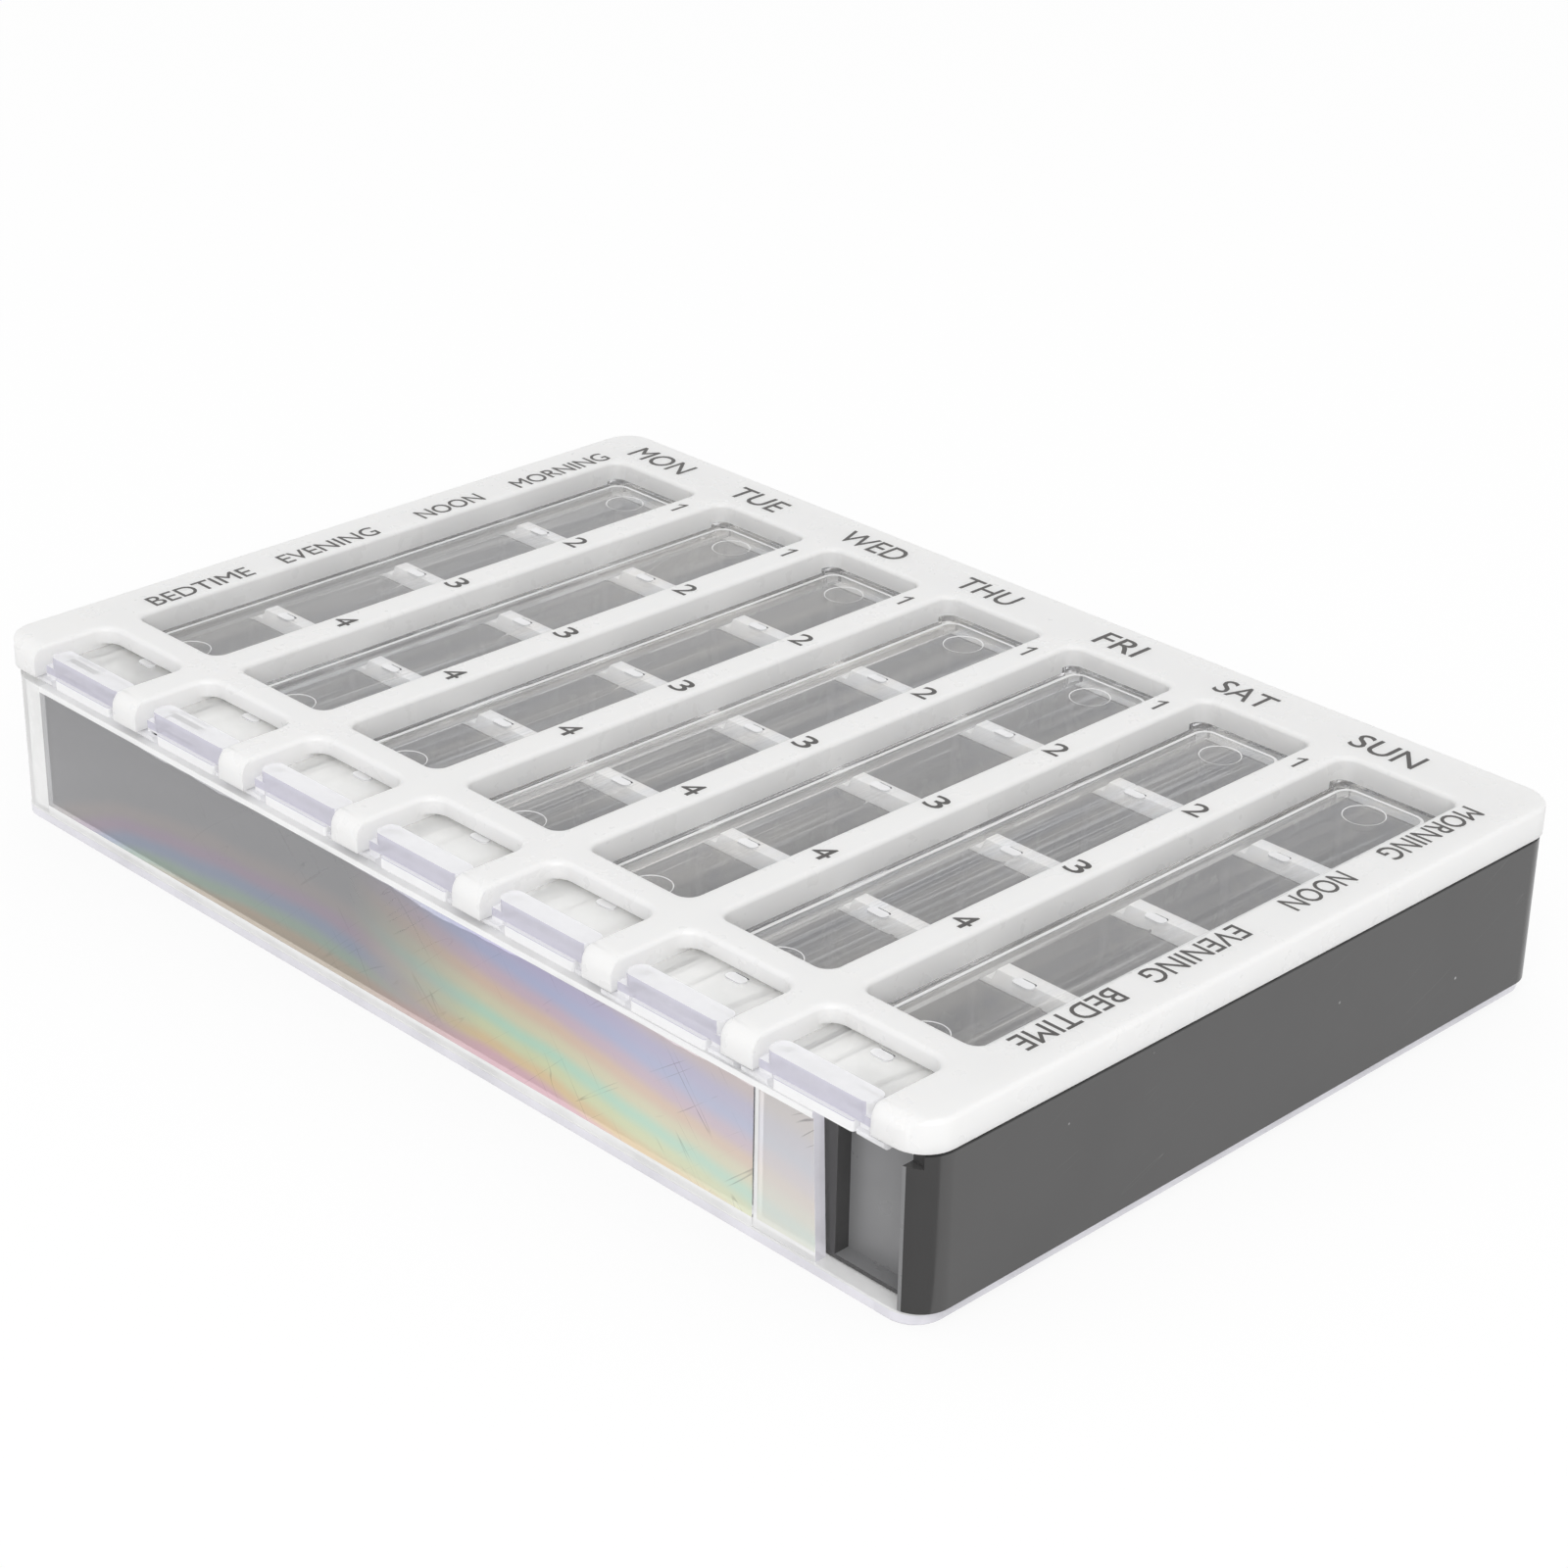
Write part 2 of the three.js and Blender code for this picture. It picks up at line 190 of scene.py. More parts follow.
# %% Floor
floor_size = 8
floor_drop = 0.2 * mm
floor_tone = (0.93, 0.93, 0.93, 1)
floor_glow_level = 1.03
floor_glow_share = 0.85

bpy.ops.object.select_all(action="DESELECT")
bpy.ops.mesh.primitive_plane_add(size=floor_size, location=(0, 0, -floor_drop))
floor = bpy.context.object
floor.name = "floor"
floor_paint = bare_nodes(bpy.data.materials.new("pale_floor"))
floor_matt = add_node(floor_paint, "ShaderNodeBsdfDiffuse", inputs={"Color": floor_tone})
floor_glow = add_node(floor_paint, "ShaderNodeEmission", inputs={"Strength": floor_glow_level})
show_apart(floor_paint, floor_matt, floor_glow, floor_glow_share, "ShaderNodeOutputMaterial")
floor.data.materials.append(floor_paint)
print("floor", floor_size, "m wide, its own glow", floor_glow_share)

# %% [markdown]
# ## A dark card
# In an all white room a glossy dark pillar turns pale. A studio lays a dark card beside it, and so does this
# scene: a four cornered sheet on the floor at the front right. Only mirrors see it.

# %% Dark card
card_corners = ((-0.01, -0.172), (0.25, -0.25), (0.096, -0.066), (0.25, -0.064))
card_drop = 0.1 * mm
card_tone = (0.02, 0.02, 0.02, 1)

bpy.ops.object.select_all(action="DESELECT")
bpy.ops.mesh.primitive_plane_add(size=1)
card = bpy.context.object
card.name = "dark_card"
for point, (x, y) in zip(card.data.vertices, card_corners):
    point.co = (x, y, -card_drop)
card.visible_camera = False
card.visible_diffuse = False
card.visible_transmission = False
card.visible_shadow = False
card_paint = bpy.data.materials.new("dark_card")
card_paint.use_nodes = True
card_shader = card_paint.node_tree.nodes["Principled BSDF"]
card_shader.inputs["Base Color"].default_value = card_tone
card_shader.inputs["Roughness"].default_value = 1
card.data.materials.append(card_paint)
print("dark card with", len(card.data.vertices), "corners")

# %% [markdown]
# ## Painting plastic with nodes
# Every finish starts from one Principled shader. Moulded plastic is never one flat tone: its colour drifts
# a little, its gloss is broken by handling, and its surface has the faint grain of the mould. Noises give
# that, each in the object's own coordinates, so the pattern stays put when a lid slides. A fine scratch is
# the thin line where a noise, drawn out long in one direction, passes its middle value.


# %% Patterns
def start_paint(name):
    """A new material, its Principled shader, and its object coordinates."""
    paint = bpy.data.materials.new(name)
    paint.use_nodes = True
    shader = paint.node_tree.nodes["Principled BSDF"]
    place = add_node(paint, "ShaderNodeTexCoord").outputs["Object"]
    return paint, shader, place


def noise(paint, place, scale, detail, stretch=(1, 1, 1), turned=(0, 0, 0)):
    """Soft noise at a scale in ripples for each metre, drawn out along the turned axes."""
    longer = tuple(1 / share for share in stretch)
    moved = add_node(paint, "ShaderNodeMapping", {"vector_type": "TEXTURE"},
                     {"Scale": longer, "Rotation": turned}, {"Vector": place})
    pattern = add_node(paint, "ShaderNodeTexNoise", inputs={"Scale": scale, "Detail": detail},
                       links={"Vector": moved.outputs[0]})
    return pattern.outputs["Fac"]


def between(paint, value, low, high, to_low=0.0, to_high=1.0):
    """The value remapped from low..high to to_low..to_high, held at the ends."""
    node = add_node(paint, "ShaderNodeMapRange", links={"Value": value}, inputs={
        "From Min": low, "From Max": high, "To Min": to_low, "To Max": to_high})
    return node.outputs[0]


def scratches(paint, place, scale, turned, width, stretch):
    """Thin straight lines: the edges of a noise drawn out long in one direction."""
    drawn = noise(paint, place, scale, 1.0, stretch, turned)
    middle = maths(paint, "ABSOLUTE", maths(paint, "SUBTRACT", drawn, 0.5))
    return between(paint, middle, 0.0, width, 1.0, 0.0)


def add_bump(paint, shader, height, strength, distance):
    """Let the height roughen the surface."""
    bump = add_node(paint, "ShaderNodeBump", inputs={"Strength": strength, "Distance": distance},
                    links={"Height": height})
    fill(paint, shader.inputs["Normal"], bump.outputs[0])


# %% [markdown]
# ### White plastics
# The top frame is a bright white, a touch translucent, so its rounded corners and inner walls are paler
# than those of a solid white. A paler paint would clip the top instead, so a part of the light is let into
# the plastic. The grid under the lids is the same white, a little duller.

# %% Opaque plastic
drift_scale = 28
rub_scale = 210
grain_scale = 700
grain_depth = 0.01 * mm


def opaque_plastic(name, colour, drift, gloss):
    """A moulded plastic: colour with a slow drift, gloss broken by rubbing, and mould grain."""
    paint, shader, place = start_paint(name)
    slow = between(paint, noise(paint, place, drift_scale, 3), 0.35, 0.65)
    deeper = tuple(value * (1 - drift) for value in colour)
    fill(paint, shader.inputs["Base Color"], blend_colours(paint, slow, deeper, colour))
    rubbed = noise(paint, place, rub_scale, 5)
    worn_gloss = between(paint, rubbed, 0.3, 0.7, gloss * 0.8, gloss * 1.25)
    fill(paint, shader.inputs["Roughness"], worn_gloss)
    add_bump(paint, shader, noise(paint, place, grain_scale, 2), 0.06, grain_depth)
    return paint, shader, place


def glowing_white(name, colour, drift, gloss):
    """White plastic that lets light wander inside it."""
    paint, shader, _ = opaque_plastic(name, colour, drift, gloss)
    shader.inputs["Subsurface Weight"].default_value = 0.4
    shader.inputs["Subsurface Radius"].default_value = (1, 0.97, 0.93)
    shader.inputs["Subsurface Scale"].default_value = 4 * mm
    return paint


white_gloss = glowing_white("white_gloss", (0.935, 0.93, 0.92), 0.01, 0.3)
milk_gloss = glowing_white("milk_gloss", (0.96, 0.955, 0.94), 0.02, 0.38)
print("white plastics:", white_gloss.name, milk_gloss.name)

# %% [markdown]
# ### Dark plastics
# The casing and the wells are one dark plastic with a high gloss, and gloss shows every speck of dust and
# every rub mark. Specks come from a cell pattern that is cut off close to each cell's centre, and a slow
# noise keeps them in patches. The wells are a lighter grey than the casing: their own dark grey with a
# painted sheen of the clear lid above them. They also have the pale streaks that the mould leaves along a
# drawn wall.


# %% Dark plastics
def dark_plastic(name, colour, gloss, dust_share):
    """The dark glossy plastic, with dust specks and fine rub lines over it."""
    paint, shader, place = opaque_plastic(name, colour, 0.12, gloss)
    plain = shader.inputs["Base Color"].links[0].from_socket
    cells = add_node(paint, "ShaderNodeTexVoronoi", inputs={"Scale": 190}, links={"Vector": place})
    speck = between(paint, cells.outputs["Distance"], 0.03, 0.06, 1.0, 0.0)
    dusty = between(paint, noise(paint, place, 60, 2), 0.56, 0.6)
    dust = maths(paint, "MULTIPLY", maths(paint, "MULTIPLY", speck, dusty), dust_share)
    lines = scratches(paint, place, 420, (0.3, 0.5, 0.2), 0.0016, (1, 0.02, 0.3))
    handled = between(paint, noise(paint, place, 70, 2), 0.5, 0.7, 0, 0.25)
    marks = maths(paint, "ADD", dust, maths(paint, "MULTIPLY", lines, handled))
    fill(paint, shader.inputs["Base Color"], blend_colours(paint, marks, plain, (0.5, 0.5, 0.5)))
    return paint, shader, place


def streaked_wells():
    """The wells: dark plastic with pale bluish and brownish streaks, in a lighter grey that is partly a
    painted sheen of the lid above.
    """
    # The base grey, lighter than the casing's, is partly a painted sheen of the lid above.
    paint, shader, place = dark_plastic("well_grey_painted_sheen", (0.22, 0.215, 0.217), 0.24, 0.3)
    plain = shader.inputs["Base Color"].links[0].from_socket
    streak = between(paint, noise(paint, place, 330, 4, (1, 0.03, 1)), 0.35, 0.65)
    streaked = blend_colours(paint, streak, (0.19, 0.19, 0.21), (0.27, 0.26, 0.25))
    fill(paint, shader.inputs["Base Color"], blend_colours(paint, 0.6, plain, streaked))
    return paint


dark_finishes = (
    ("slate_gloss", (0.072, 0.071, 0.071), 0.2, 0.8),
    # The second finish is a paler slate: a painted sheen in the pockets and a painted highlight on the
    # pillars.
    ("slate_painted_sheen", (0.26, 0.26, 0.265), 0.3, 0.4),
    # The third finish is near black, a painted shadow on the casing's upper edge.
    ("slate_painted_shadow", (0.012, 0.012, 0.012), 0.5, 0.1),
)
slate_gloss, slate_painted_sheen, slate_painted_shadow = [dark_plastic(*finish)[0] for finish in dark_finishes]
well_grey_painted_sheen = streaked_wells()
print("dark plastics:", [paint.name for paint in (slate_gloss, slate_painted_sheen, slate_painted_shadow, well_grey_painted_sheen)])

# %% [markdown]
# ### Clear plastics
# Clear polystyrene is glass to the eye: full transmission, a sharp mirror of the room, and a lavender cast
# where the eye looks along a thick edge. Light from the lamp has to reach what is under it, so a ray that
# only carries shadow or scattered light passes straight through. Rubbing leaves a haze and fine lines. Thick
# and rubbed places get more haze, so one recipe gives them all.

# %% Clear plastics
light_bend = 1.49
rub_lines = 0.2


def let_light_through(paint, shader, tint):
    """Shadow rays and scattered light pass straight through the plastic."""
    rays = add_node(paint, "ShaderNodeLightPath").outputs
    passes = maths(paint, "MAXIMUM", rays["Is Shadow Ray"], rays["Is Diffuse Ray"])
    opening = add_node(paint, "ShaderNodeBsdfTransparent", inputs={"Color": (*tint, 1)})
    either = add_node(paint, "ShaderNodeMixShader",
                      links={0: passes, 1: shader.outputs[0], 2: opening.outputs[0]})
    fill(paint, paint.node_tree.nodes["Material Output"].inputs["Surface"], either.outputs[0])


def clear_plastic(name, tint, haze):
    """Clear moulded plastic, with fine lines in its gloss and a share of milky haze."""
    paint, shader, place = start_paint(name)
    shader.inputs["Base Color"].default_value = (*tint, 1)
    shader.inputs["IOR"].default_value = light_bend
    cloud = noise(paint, place, 90, 4)
    fill(paint, shader.inputs["Transmission Weight"],
         between(paint, cloud, 0.35, 0.7, 1 - haze * 0.8, 1 - haze))
    lines = scratches(paint, place, 300, (0.2, 0.1, 0.9), 0.002, (1, 0.03, 1))
    rubbed = maths(paint, "MULTIPLY", lines, rub_lines)
    fill(paint, shader.inputs["Roughness"], maths(paint, "ADD", rubbed, 0.02))
    add_bump(paint, shader, noise(paint, place, 45, 2), 0.1, 0.02 * mm)
    let_light_through(paint, shader, tint)
    return paint, shader, place


def slid_plastic():
    """The lids: clear, with the faint bluish and brownish lines that sliding draws along them."""
    paint, shader, place = clear_plastic("clear_lid", (1, 1, 1), 0.06)
    streak = noise(paint, place, 330, 4, (1, 0.03, 1))
    share = between(paint, streak, 0.35, 0.65)
    tint = blend_colours(paint, share, (0.93, 0.94, 0.965), (0.98, 0.965, 0.945))
    fill(paint, shader.inputs["Base Color"], tint)
    fine = scratches(paint, place, 700, (0, 0, 0), 0.04, (1, 0.012, 1))
    slid = between(paint, noise(paint, place, 80, 2, (1, 0.1, 1)), 0.42, 0.6)
    drawn = maths(paint, "MULTIPLY", maths(paint, "MULTIPLY", fine, slid), 0.2)
    hazed = between(paint, streak, 0.4, 0.7, 0.97, 0.9)
    fill(paint, shader.inputs["Transmission Weight"], maths(paint, "SUBTRACT", hazed, drawn))
    return paint


clear_lid = slid_plastic()
# The fifth finish is both milky plastic and a painted highlight on the lids' raised forms.
clear_finishes = (
    ("clear_edge", (0.66, 0.645, 0.74), 0.9),
    ("clear_lip", (0.97, 0.97, 0.985), 0.8),
    ("clear_front", (0.985, 0.985, 0.98), 0.38),
    # A dark clear: the painted shade in the lids' click slots.
    ("clear_shade", (0.25, 0.25, 0.26), 0.6),
    ("frosted_and_painted_highlight", (0.97, 0.97, 0.975), 0.95),
)
clear_edge, clear_lip, clear_front, clear_shade, frosted_and_painted_highlight = [
    clear_plastic(*finish)[0] for finish in clear_finishes]
# The band finish is also the painted highlight at the cover's ridge, and the end finish is a lavender
# lightened as a painted lift of shade.
cover_finishes = (
    ("clear_cover", (0.955, 0.955, 0.975), 0.06),
    ("clear_base", (0.985, 0.985, 0.98), 0.8),
    ("clear_band", (0.985, 0.985, 0.98), 0.96),
    ("clear_end", (0.95, 0.935, 1), 0.95),
)
clear_cover, clear_base, clear_band, clear_end = [
    clear_plastic(*finish)[0] for finish in cover_finishes]
print("clear plastics:", 1 + len(clear_finishes) + len(cover_finishes))

# %% [markdown]
# ### The rainbow in the cover's long walls
# Clear polystyrene cools with stress locked in, and in polarised light the stress shows as coloured bands.
# On the real wall the bands lie nearly flat. On the left they are pale arches that bend down to the corner,
# and on the right, near the open end, they are strong and slope down. So the height on the wall, with a
# little of the length added, runs through two ramps of colour, one for each half, that blend in the middle.

# %% Colours of the bands
ridge_place = 71.4 * mm
band_low = 3 * mm
band_high = 30 * mm
left_bands = (
    (4.5, (0.63, 0.53, 0.41)),
    (6.5, (0.47, 0.60, 0.51)),
    (9.0, (0.44, 0.50, 0.65)),
    (11.5, (0.57, 0.47, 0.57)),
    (14.0, (0.56, 0.52, 0.51)),
    (17.0, (0.50, 0.50, 0.51)),
    (22.0, (0.52, 0.52, 0.53)),
)
right_bands = (
    (4.5, (0.88, 0.56, 0.62)),
    (6.5, (0.94, 0.72, 0.42)),
    (9.0, (0.84, 0.90, 0.56)),
    (11.5, (0.62, 0.92, 0.72)),
    (14.0, (0.90, 0.86, 0.60)),
    (16.5, (0.94, 0.70, 0.54)),
    (19.0, (0.80, 0.62, 0.74)),
    (22.0, (0.60, 0.64, 0.92)),
    (24.5, (0.66, 0.62, 0.88)),
    (28.0, (0.84, 0.68, 0.68)),
)


def colour_bands(paint, height, bands):
    """A ramp of colours over a height in metres. The bands give each height in millimetres."""
    share = between(paint, height, band_low, band_high)
    ramp = add_node(paint, "ShaderNodeValToRGB", links={"Fac": share})
    ramp.color_ramp.interpolation = "EASE"
    stops = ramp.color_ramp.elements
    for level, colour in bands:
        stop = stops.new((level * mm - band_low) / (band_high - band_low))
        stop.color = (*colour, 1)
    stops.remove(stops[0])
    stops.remove(stops[-1])
    return ramp.outputs["Color"]


print("bands on the left:", len(left_bands), "and on the right:", len(right_bands))

# %% [markdown]
# ### The stressed wall
# Each half bends its bands in its own way, and past the ridge near the open end they fade to a pale tone. A
# part of the colour is the wall's own, so it shows against the dark casing too, and the rest is a tint on
# the light that comes through. Two families of crossing scratches wear the wall clear again.

# %% Stressed clear plastic
arch_place = -40 * mm
arch_drop = 0.0043 / mm
right_slope = 0.1
slope_start = 20 * mm
pale_tone = (0.88, 0.87, 0.85)


def band_colours(paint, along, height, place):
    """The two ramps, bent and sloped, blended in the middle and paler past the ridge."""
    wander = between(paint, noise(paint, place, 26, 2), 0.3, 0.7, -1.2 * mm, 1.2 * mm)
    wandering = maths(paint, "ADD", height, wander)
    past_arch = maths(paint, "MINIMUM", maths(paint, "SUBTRACT", along, arch_place), 0)
    arch = maths(paint, "MULTIPLY", maths(paint, "MULTIPLY", past_arch, past_arch), arch_drop)
    left = colour_bands(paint, maths(paint, "ADD", wandering, arch), left_bands)
    slope = maths(paint, "MULTIPLY", maths(paint, "SUBTRACT", along, slope_start), right_slope)
    right = colour_bands(paint, maths(paint, "ADD", wandering, slope), right_bands)
    bands = blend_colours(paint, between(paint, along, -14 * mm, 16 * mm), left, right)
    slowly = between(paint, along, 30 * mm, ridge_place, 0.0, 0.35)
    past_ridge = between(paint, along, ridge_place, ridge_place + 0.2 * mm, 0.0, 0.4)
    return blend_colours(paint, maths(paint, "ADD", slowly, past_ridge), bands, pale_tone)


def worn_clear(paint, along, place):
    """Crossing scratches, in patches, more of them towards the open end."""
    families = [scratches(paint, place, scale, (0, turned, 0), 0.006, (1, 1, 0.06))
                for scale, turned in ((260, 0.9), (240, -0.7))]
    patches = between(paint, noise(paint, place, 90, 3), 0.48, 0.6)
    where = maths(paint, "MULTIPLY", patches, between(paint, along, -60 * mm, 80 * mm, 0.0, 0.4))
    return maths(paint, "MULTIPLY", maths(paint, "MAXIMUM", *families), where)


def stressed_plastic():
    """The long walls of the cover, with the bands and how much of them is the wall's own colour."""
    paint, shader, place = clear_plastic("stressed_clear", (0.955, 0.955, 0.975), 0.08)
    parts = add_node(paint, "ShaderNodeSeparateXYZ", links={"Vector": place}).outputs
    along, height = parts[0], parts[2]
    fill(paint, shader.inputs["Base Color"], band_colours(paint, along, height, place))
    glow = between(paint, along, -10 * mm, 50 * mm, 0.5, 0.85)
    lower = between(paint, height, 4 * mm, 24 * mm, 1.0, 0.72)
    own_colour = maths(paint, "MULTIPLY", glow, lower)
    let_through = maths(paint, "SUBTRACT", 1.0, own_colour)
    clear = maths(paint, "ADD", let_through, worn_clear(paint, along, place))
    fill(paint, shader.inputs["Transmission Weight"], clear)
    return paint


stressed_clear = stressed_plastic()
print("stressed wall:", stressed_clear.name, "with", len(stressed_clear.node_tree.nodes), "nodes")

# %% [markdown]
# ### The ink
# The words are printed in a thin dark film. Printing ink isn't fully black and wears a little, so a fine
# noise takes it from near black to dark grey and from satin to matt.


# %% Ink
def printed_ink():
    """A film of dark ink, worn here and there."""
    paint, shader, place = start_paint("print_ink")
    worn = between(paint, noise(paint, place, 500, 4), 0.35, 0.75)
    ink = blend_colours(paint, worn, (0.055, 0.052, 0.05), (0.10, 0.096, 0.092))
    fill(paint, shader.inputs["Base Color"], ink)
    fill(paint, shader.inputs["Roughness"], between(paint, worn, 0.0, 1.0, 0.4, 0.6))
    return paint


print_ink = printed_ink()
print("ink:", print_ink.name)

# %% [markdown]
# ## Ways of working
# A moulded piece is easiest to think of as a block that is cut, joined and softened. The helpers below do
# what a hand would do. The first ones add a cube at its size and pick its edges or faces in edit mode.


# %% Blocks, edges and faces
def only(piece):
    """Select this piece alone, in object mode."""
    bpy.ops.object.select_all(action="DESELECT")
    piece.select_set(True)
    bpy.context.view_layer.objects.active = piece


def slab(name, x_range, y_range, z_range):
    """A cube stretched to fill the three ranges, with its place in its mesh."""
    bpy.ops.object.select_all(action="DESELECT")
    centre = [(low + high) / 2 for low, high in (x_range, y_range, z_range)]
    bpy.ops.mesh.primitive_cube_add(size=1, location=centre)
    piece = bpy.context.object
    piece.name = name
    piece.scale = [high - low for low, high in (x_range, y_range, z_range)]
    bpy.ops.object.transform_apply(location=True, rotation=True, scale=True)
    return piece


def mirrored(side, first, second):
    """The range between two distances from the middle, on the side that is -1 or 1."""
    return sorted((side * first, side * second))


def pick(piece, kind, chosen):
    """Go into edit mode with just the edges or faces selected that the test chooses."""
    only(piece)
    bpy.ops.object.mode_set(mode="EDIT")
    bpy.ops.mesh.select_mode(type=kind)
    bpy.ops.mesh.select_all(action="DESELECT")
    bpy.ops.object.mode_set(mode="OBJECT")
    parts = piece.data.edges if kind == "EDGE" else piece.data.polygons
    for part in parts:
        part.select = chosen(part)
    bpy.ops.object.mode_set(mode="EDIT")


def pick_edges(piece, wanted):
    """Select the edges whose two ends pass the test."""
    pick(piece, "EDGE", lambda edge: wanted(*(piece.data.vertices[end].co for end in edge.vertices)))


def pick_faces(piece, wanted):
    """Select the faces whose centre and normal pass the test."""
    pick(piece, "FACE", lambda face: wanted(face.center, face.normal))


# %% [markdown]
# ### Rounding
# The corners of a mould are rounded by a cutter of a known radius, so a bevel of the same radius on chosen
# edges is the closest tool. A bevel modifier then takes the edge off everything that is still sharp, which
# gives each rim the thin bright line that real plastic has.

# %% Rounding
touching = 1e-6
sharp_angle = 50
smooth_angle = 35


def round_edges(piece, wanted, radius, steps):
    """Bevel the edges that pass the test into a round of that radius."""
    pick_edges(piece, wanted)
    bpy.ops.mesh.bevel(offset=radius, offset_type="OFFSET", segments=steps, profile=0.5, affect="EDGES")
    bpy.ops.object.mode_set(mode="OBJECT")
    return piece


def round_corners(piece, radius, steps, side=None):
    """Round the upright corners of a slab, all of them or those that the side test allows."""
    def wanted(start, end):
        upright = abs(start.x - end.x) < touching and abs(start.y - end.y) < touching
        return upright and (side is None or side(start))

    return round_edges(piece, wanted, radius, steps)


def apply(piece, change):
    """Make a modifier's result the mesh itself."""
    only(piece)
    bpy.ops.object.modifier_apply(modifier=change.name)


def soften(piece, width, steps):
    """Take the edge off everything sharper than the angle."""
    change = piece.modifiers.new("soften", "BEVEL")
    change.width = width
    change.segments = steps
    change.limit_method = "ANGLE"
    change.angle_limit = math.radians(sharp_angle)
    change.use_clamp_overlap = True
    apply(piece, change)
    return piece


def even_shade(piece):
    """Shade the bevels smooth and the large faces flat: each corner's normal follows its largest face."""
    only(piece)
    bpy.ops.object.shade_smooth_by_angle(angle=math.radians(smooth_angle))
    change = piece.modifiers.new("even", "WEIGHTED_NORMAL")
    change.mode = "FACE_AREA"
    change.weight = 100
    change.keep_sharp = True
    apply(piece, change)
    return piece


# %% [markdown]
# ### Cutting and joining
# Each window, groove and pocket is a cutter taken out of a block, as the steel of a mould is. Modelling the
# holes face by face would be finer work, but a cutter can be moved and sized by one value. Merging doubles
# afterwards keeps the shape closed.


# %% Cutting and joining
def work_on(piece, other, operation):
    """Cut, join or cross two closed shapes. The second one is used up."""
    change = piece.modifiers.new("work", "BOOLEAN")
    change.operation = operation
    change.solver = "EXACT"
    change.object = other
    apply(piece, change)
    bpy.data.objects.remove(other)
    return piece


def cut(piece, *cutters):
    """Take each cutter out of the piece."""
    for cutter in cutters:
        work_on(piece, cutter, "DIFFERENCE")
    return piece


def join(piece, *others):
    """Melt each other shape into the piece."""
    for other in others:
        work_on(piece, other, "UNION")
    return piece


def as_one(pieces):
    """Several separate closed shapes as one object."""
    bpy.ops.object.select_all(action="DESELECT")
    for piece in pieces:
        piece.select_set(True)
    bpy.context.view_layer.objects.active = pieces[0]
    bpy.ops.object.join()
    return bpy.context.object


def weld(piece, distance=0.001 * mm):
    """Merge doubles and point all faces outwards."""
    only(piece)
    bpy.ops.object.mode_set(mode="EDIT")
    bpy.ops.mesh.select_all(action="SELECT")
    bpy.ops.mesh.remove_doubles(threshold=distance)
    bpy.ops.mesh.normals_make_consistent(inside=False)
    bpy.ops.object.mode_set(mode="OBJECT")
    return piece


# %% [markdown]
# ### Finishing
# One piece often has several finishes. A clean line of edges is sliced across it where a finish ends, and
# the faces beyond the line get the other paint. A finished piece is then handed over: the CAD nodes that it
# stands for are hidden, and it hangs on the body that carries it.


# %% Finishing
def slice_at(piece, axis, *places):
    """A clean line of edges across the piece at each place where a finish ends."""
    for place in places:
        point = [0, 0, 0]
        point[axis] = place
        direction = [0, 0, 0]
        direction[axis] = 1
        only(piece)
        bpy.ops.object.mode_set(mode="EDIT")
        bpy.ops.mesh.select_all(action="SELECT")
        bpy.ops.mesh.bisect(plane_co=point, plane_no=direction)
        bpy.ops.object.mode_set(mode="OBJECT")


def paint_with(piece, *paints):
    """Give the piece these paints. All its faces take the first one."""
    piece.data.materials.clear()
    for paint in paints:
        piece.data.materials.append(paint)
    return piece


def paint_faces(piece, paint, wanted):
    """Give the faces that pass the test, by centre and normal, another of the piece's paints."""
    slot = piece.data.materials.find(paint.name)
    chosen = [face for face in piece.data.polygons if wanted(face.center, face.normal)]
    for face in chosen:
        face.material_index = slot
    return len(chosen)


def copy_to(piece, name, move):
    """A copy with its own mesh, moved in its mesh, so that its object stays at the origin."""
    twin = piece.copy()
    twin.data = piece.data.copy()
    twin.name = name
    twin.data.name = name
    twin.data.transform(Matrix.Translation(move))
    scene.collection.objects.link(twin)
    return twin


def report(piece):
    """Print the piece's size and how many faces it has."""
    size = [round(value / mm, 2) for value in piece.dimensions]
    print(piece.name, "is", size, "mm with", len(piece.data.polygons), "faces")


def hand_over(piece, slot, body, *nodes):
    """Hide the CAD nodes that the piece stands for and hang it on its body. The slot is not used."""
    if nodes:
        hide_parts(*nodes)
    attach(piece, body)
    report(piece)


# %% [markdown]
# ## Where things are
# The frame knows where each CAD node lies, so the pieces take their places from it. What the boxes of the
# nodes don't tell, such as the width of a window, is a named size of the real object.

# %% Places from the frame
days = ("mon", "tue", "wed", "thu", "fri", "sat", "sun")
doses = 4
gap = 0.3 * mm
over = 1 * mm

frame_low, frame_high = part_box("top_frame")
half_length = frame_high.x
half_width = frame_high.y
frame_top = frame_high.z
skirt_bottom = frame_low.z

window_width = 21.5 * mm
cell_length = 25 * mm
cell_wall = 2.5 * mm
day_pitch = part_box("wells_tue")[0].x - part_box("wells_mon")[0].x
dose_pitch = cell_length + cell_wall
back_margin = 11.75 * mm
front_step = 2.5 * mm
window_back = half_width - back_margin
window_front = window_back - doses * dose_pitch + cell_wall + front_step
notch_depth = 14.45 * mm
notch_back = notch_depth - half_width
front_bar_underside = 28.65 * mm
day_centres = [(index - 3) * day_pitch for index in range(len(days))]
cell_backs = [window_back - dose * dose_pitch for dose in range(doses)]
print("days are", round(day_pitch / mm, 2), "mm apart, doses", round(dose_pitch / mm, 2), "mm")

# %% [markdown]
# ## The top frame
# One white moulding holds it all together: seven long windows, seven notches at the front that free the
# lids' pull lips, and a low skirt. It could be drawn flat and raised, but the front edge is rounder than
# the others, so the block is crossed with a long bar that has its own round nose.

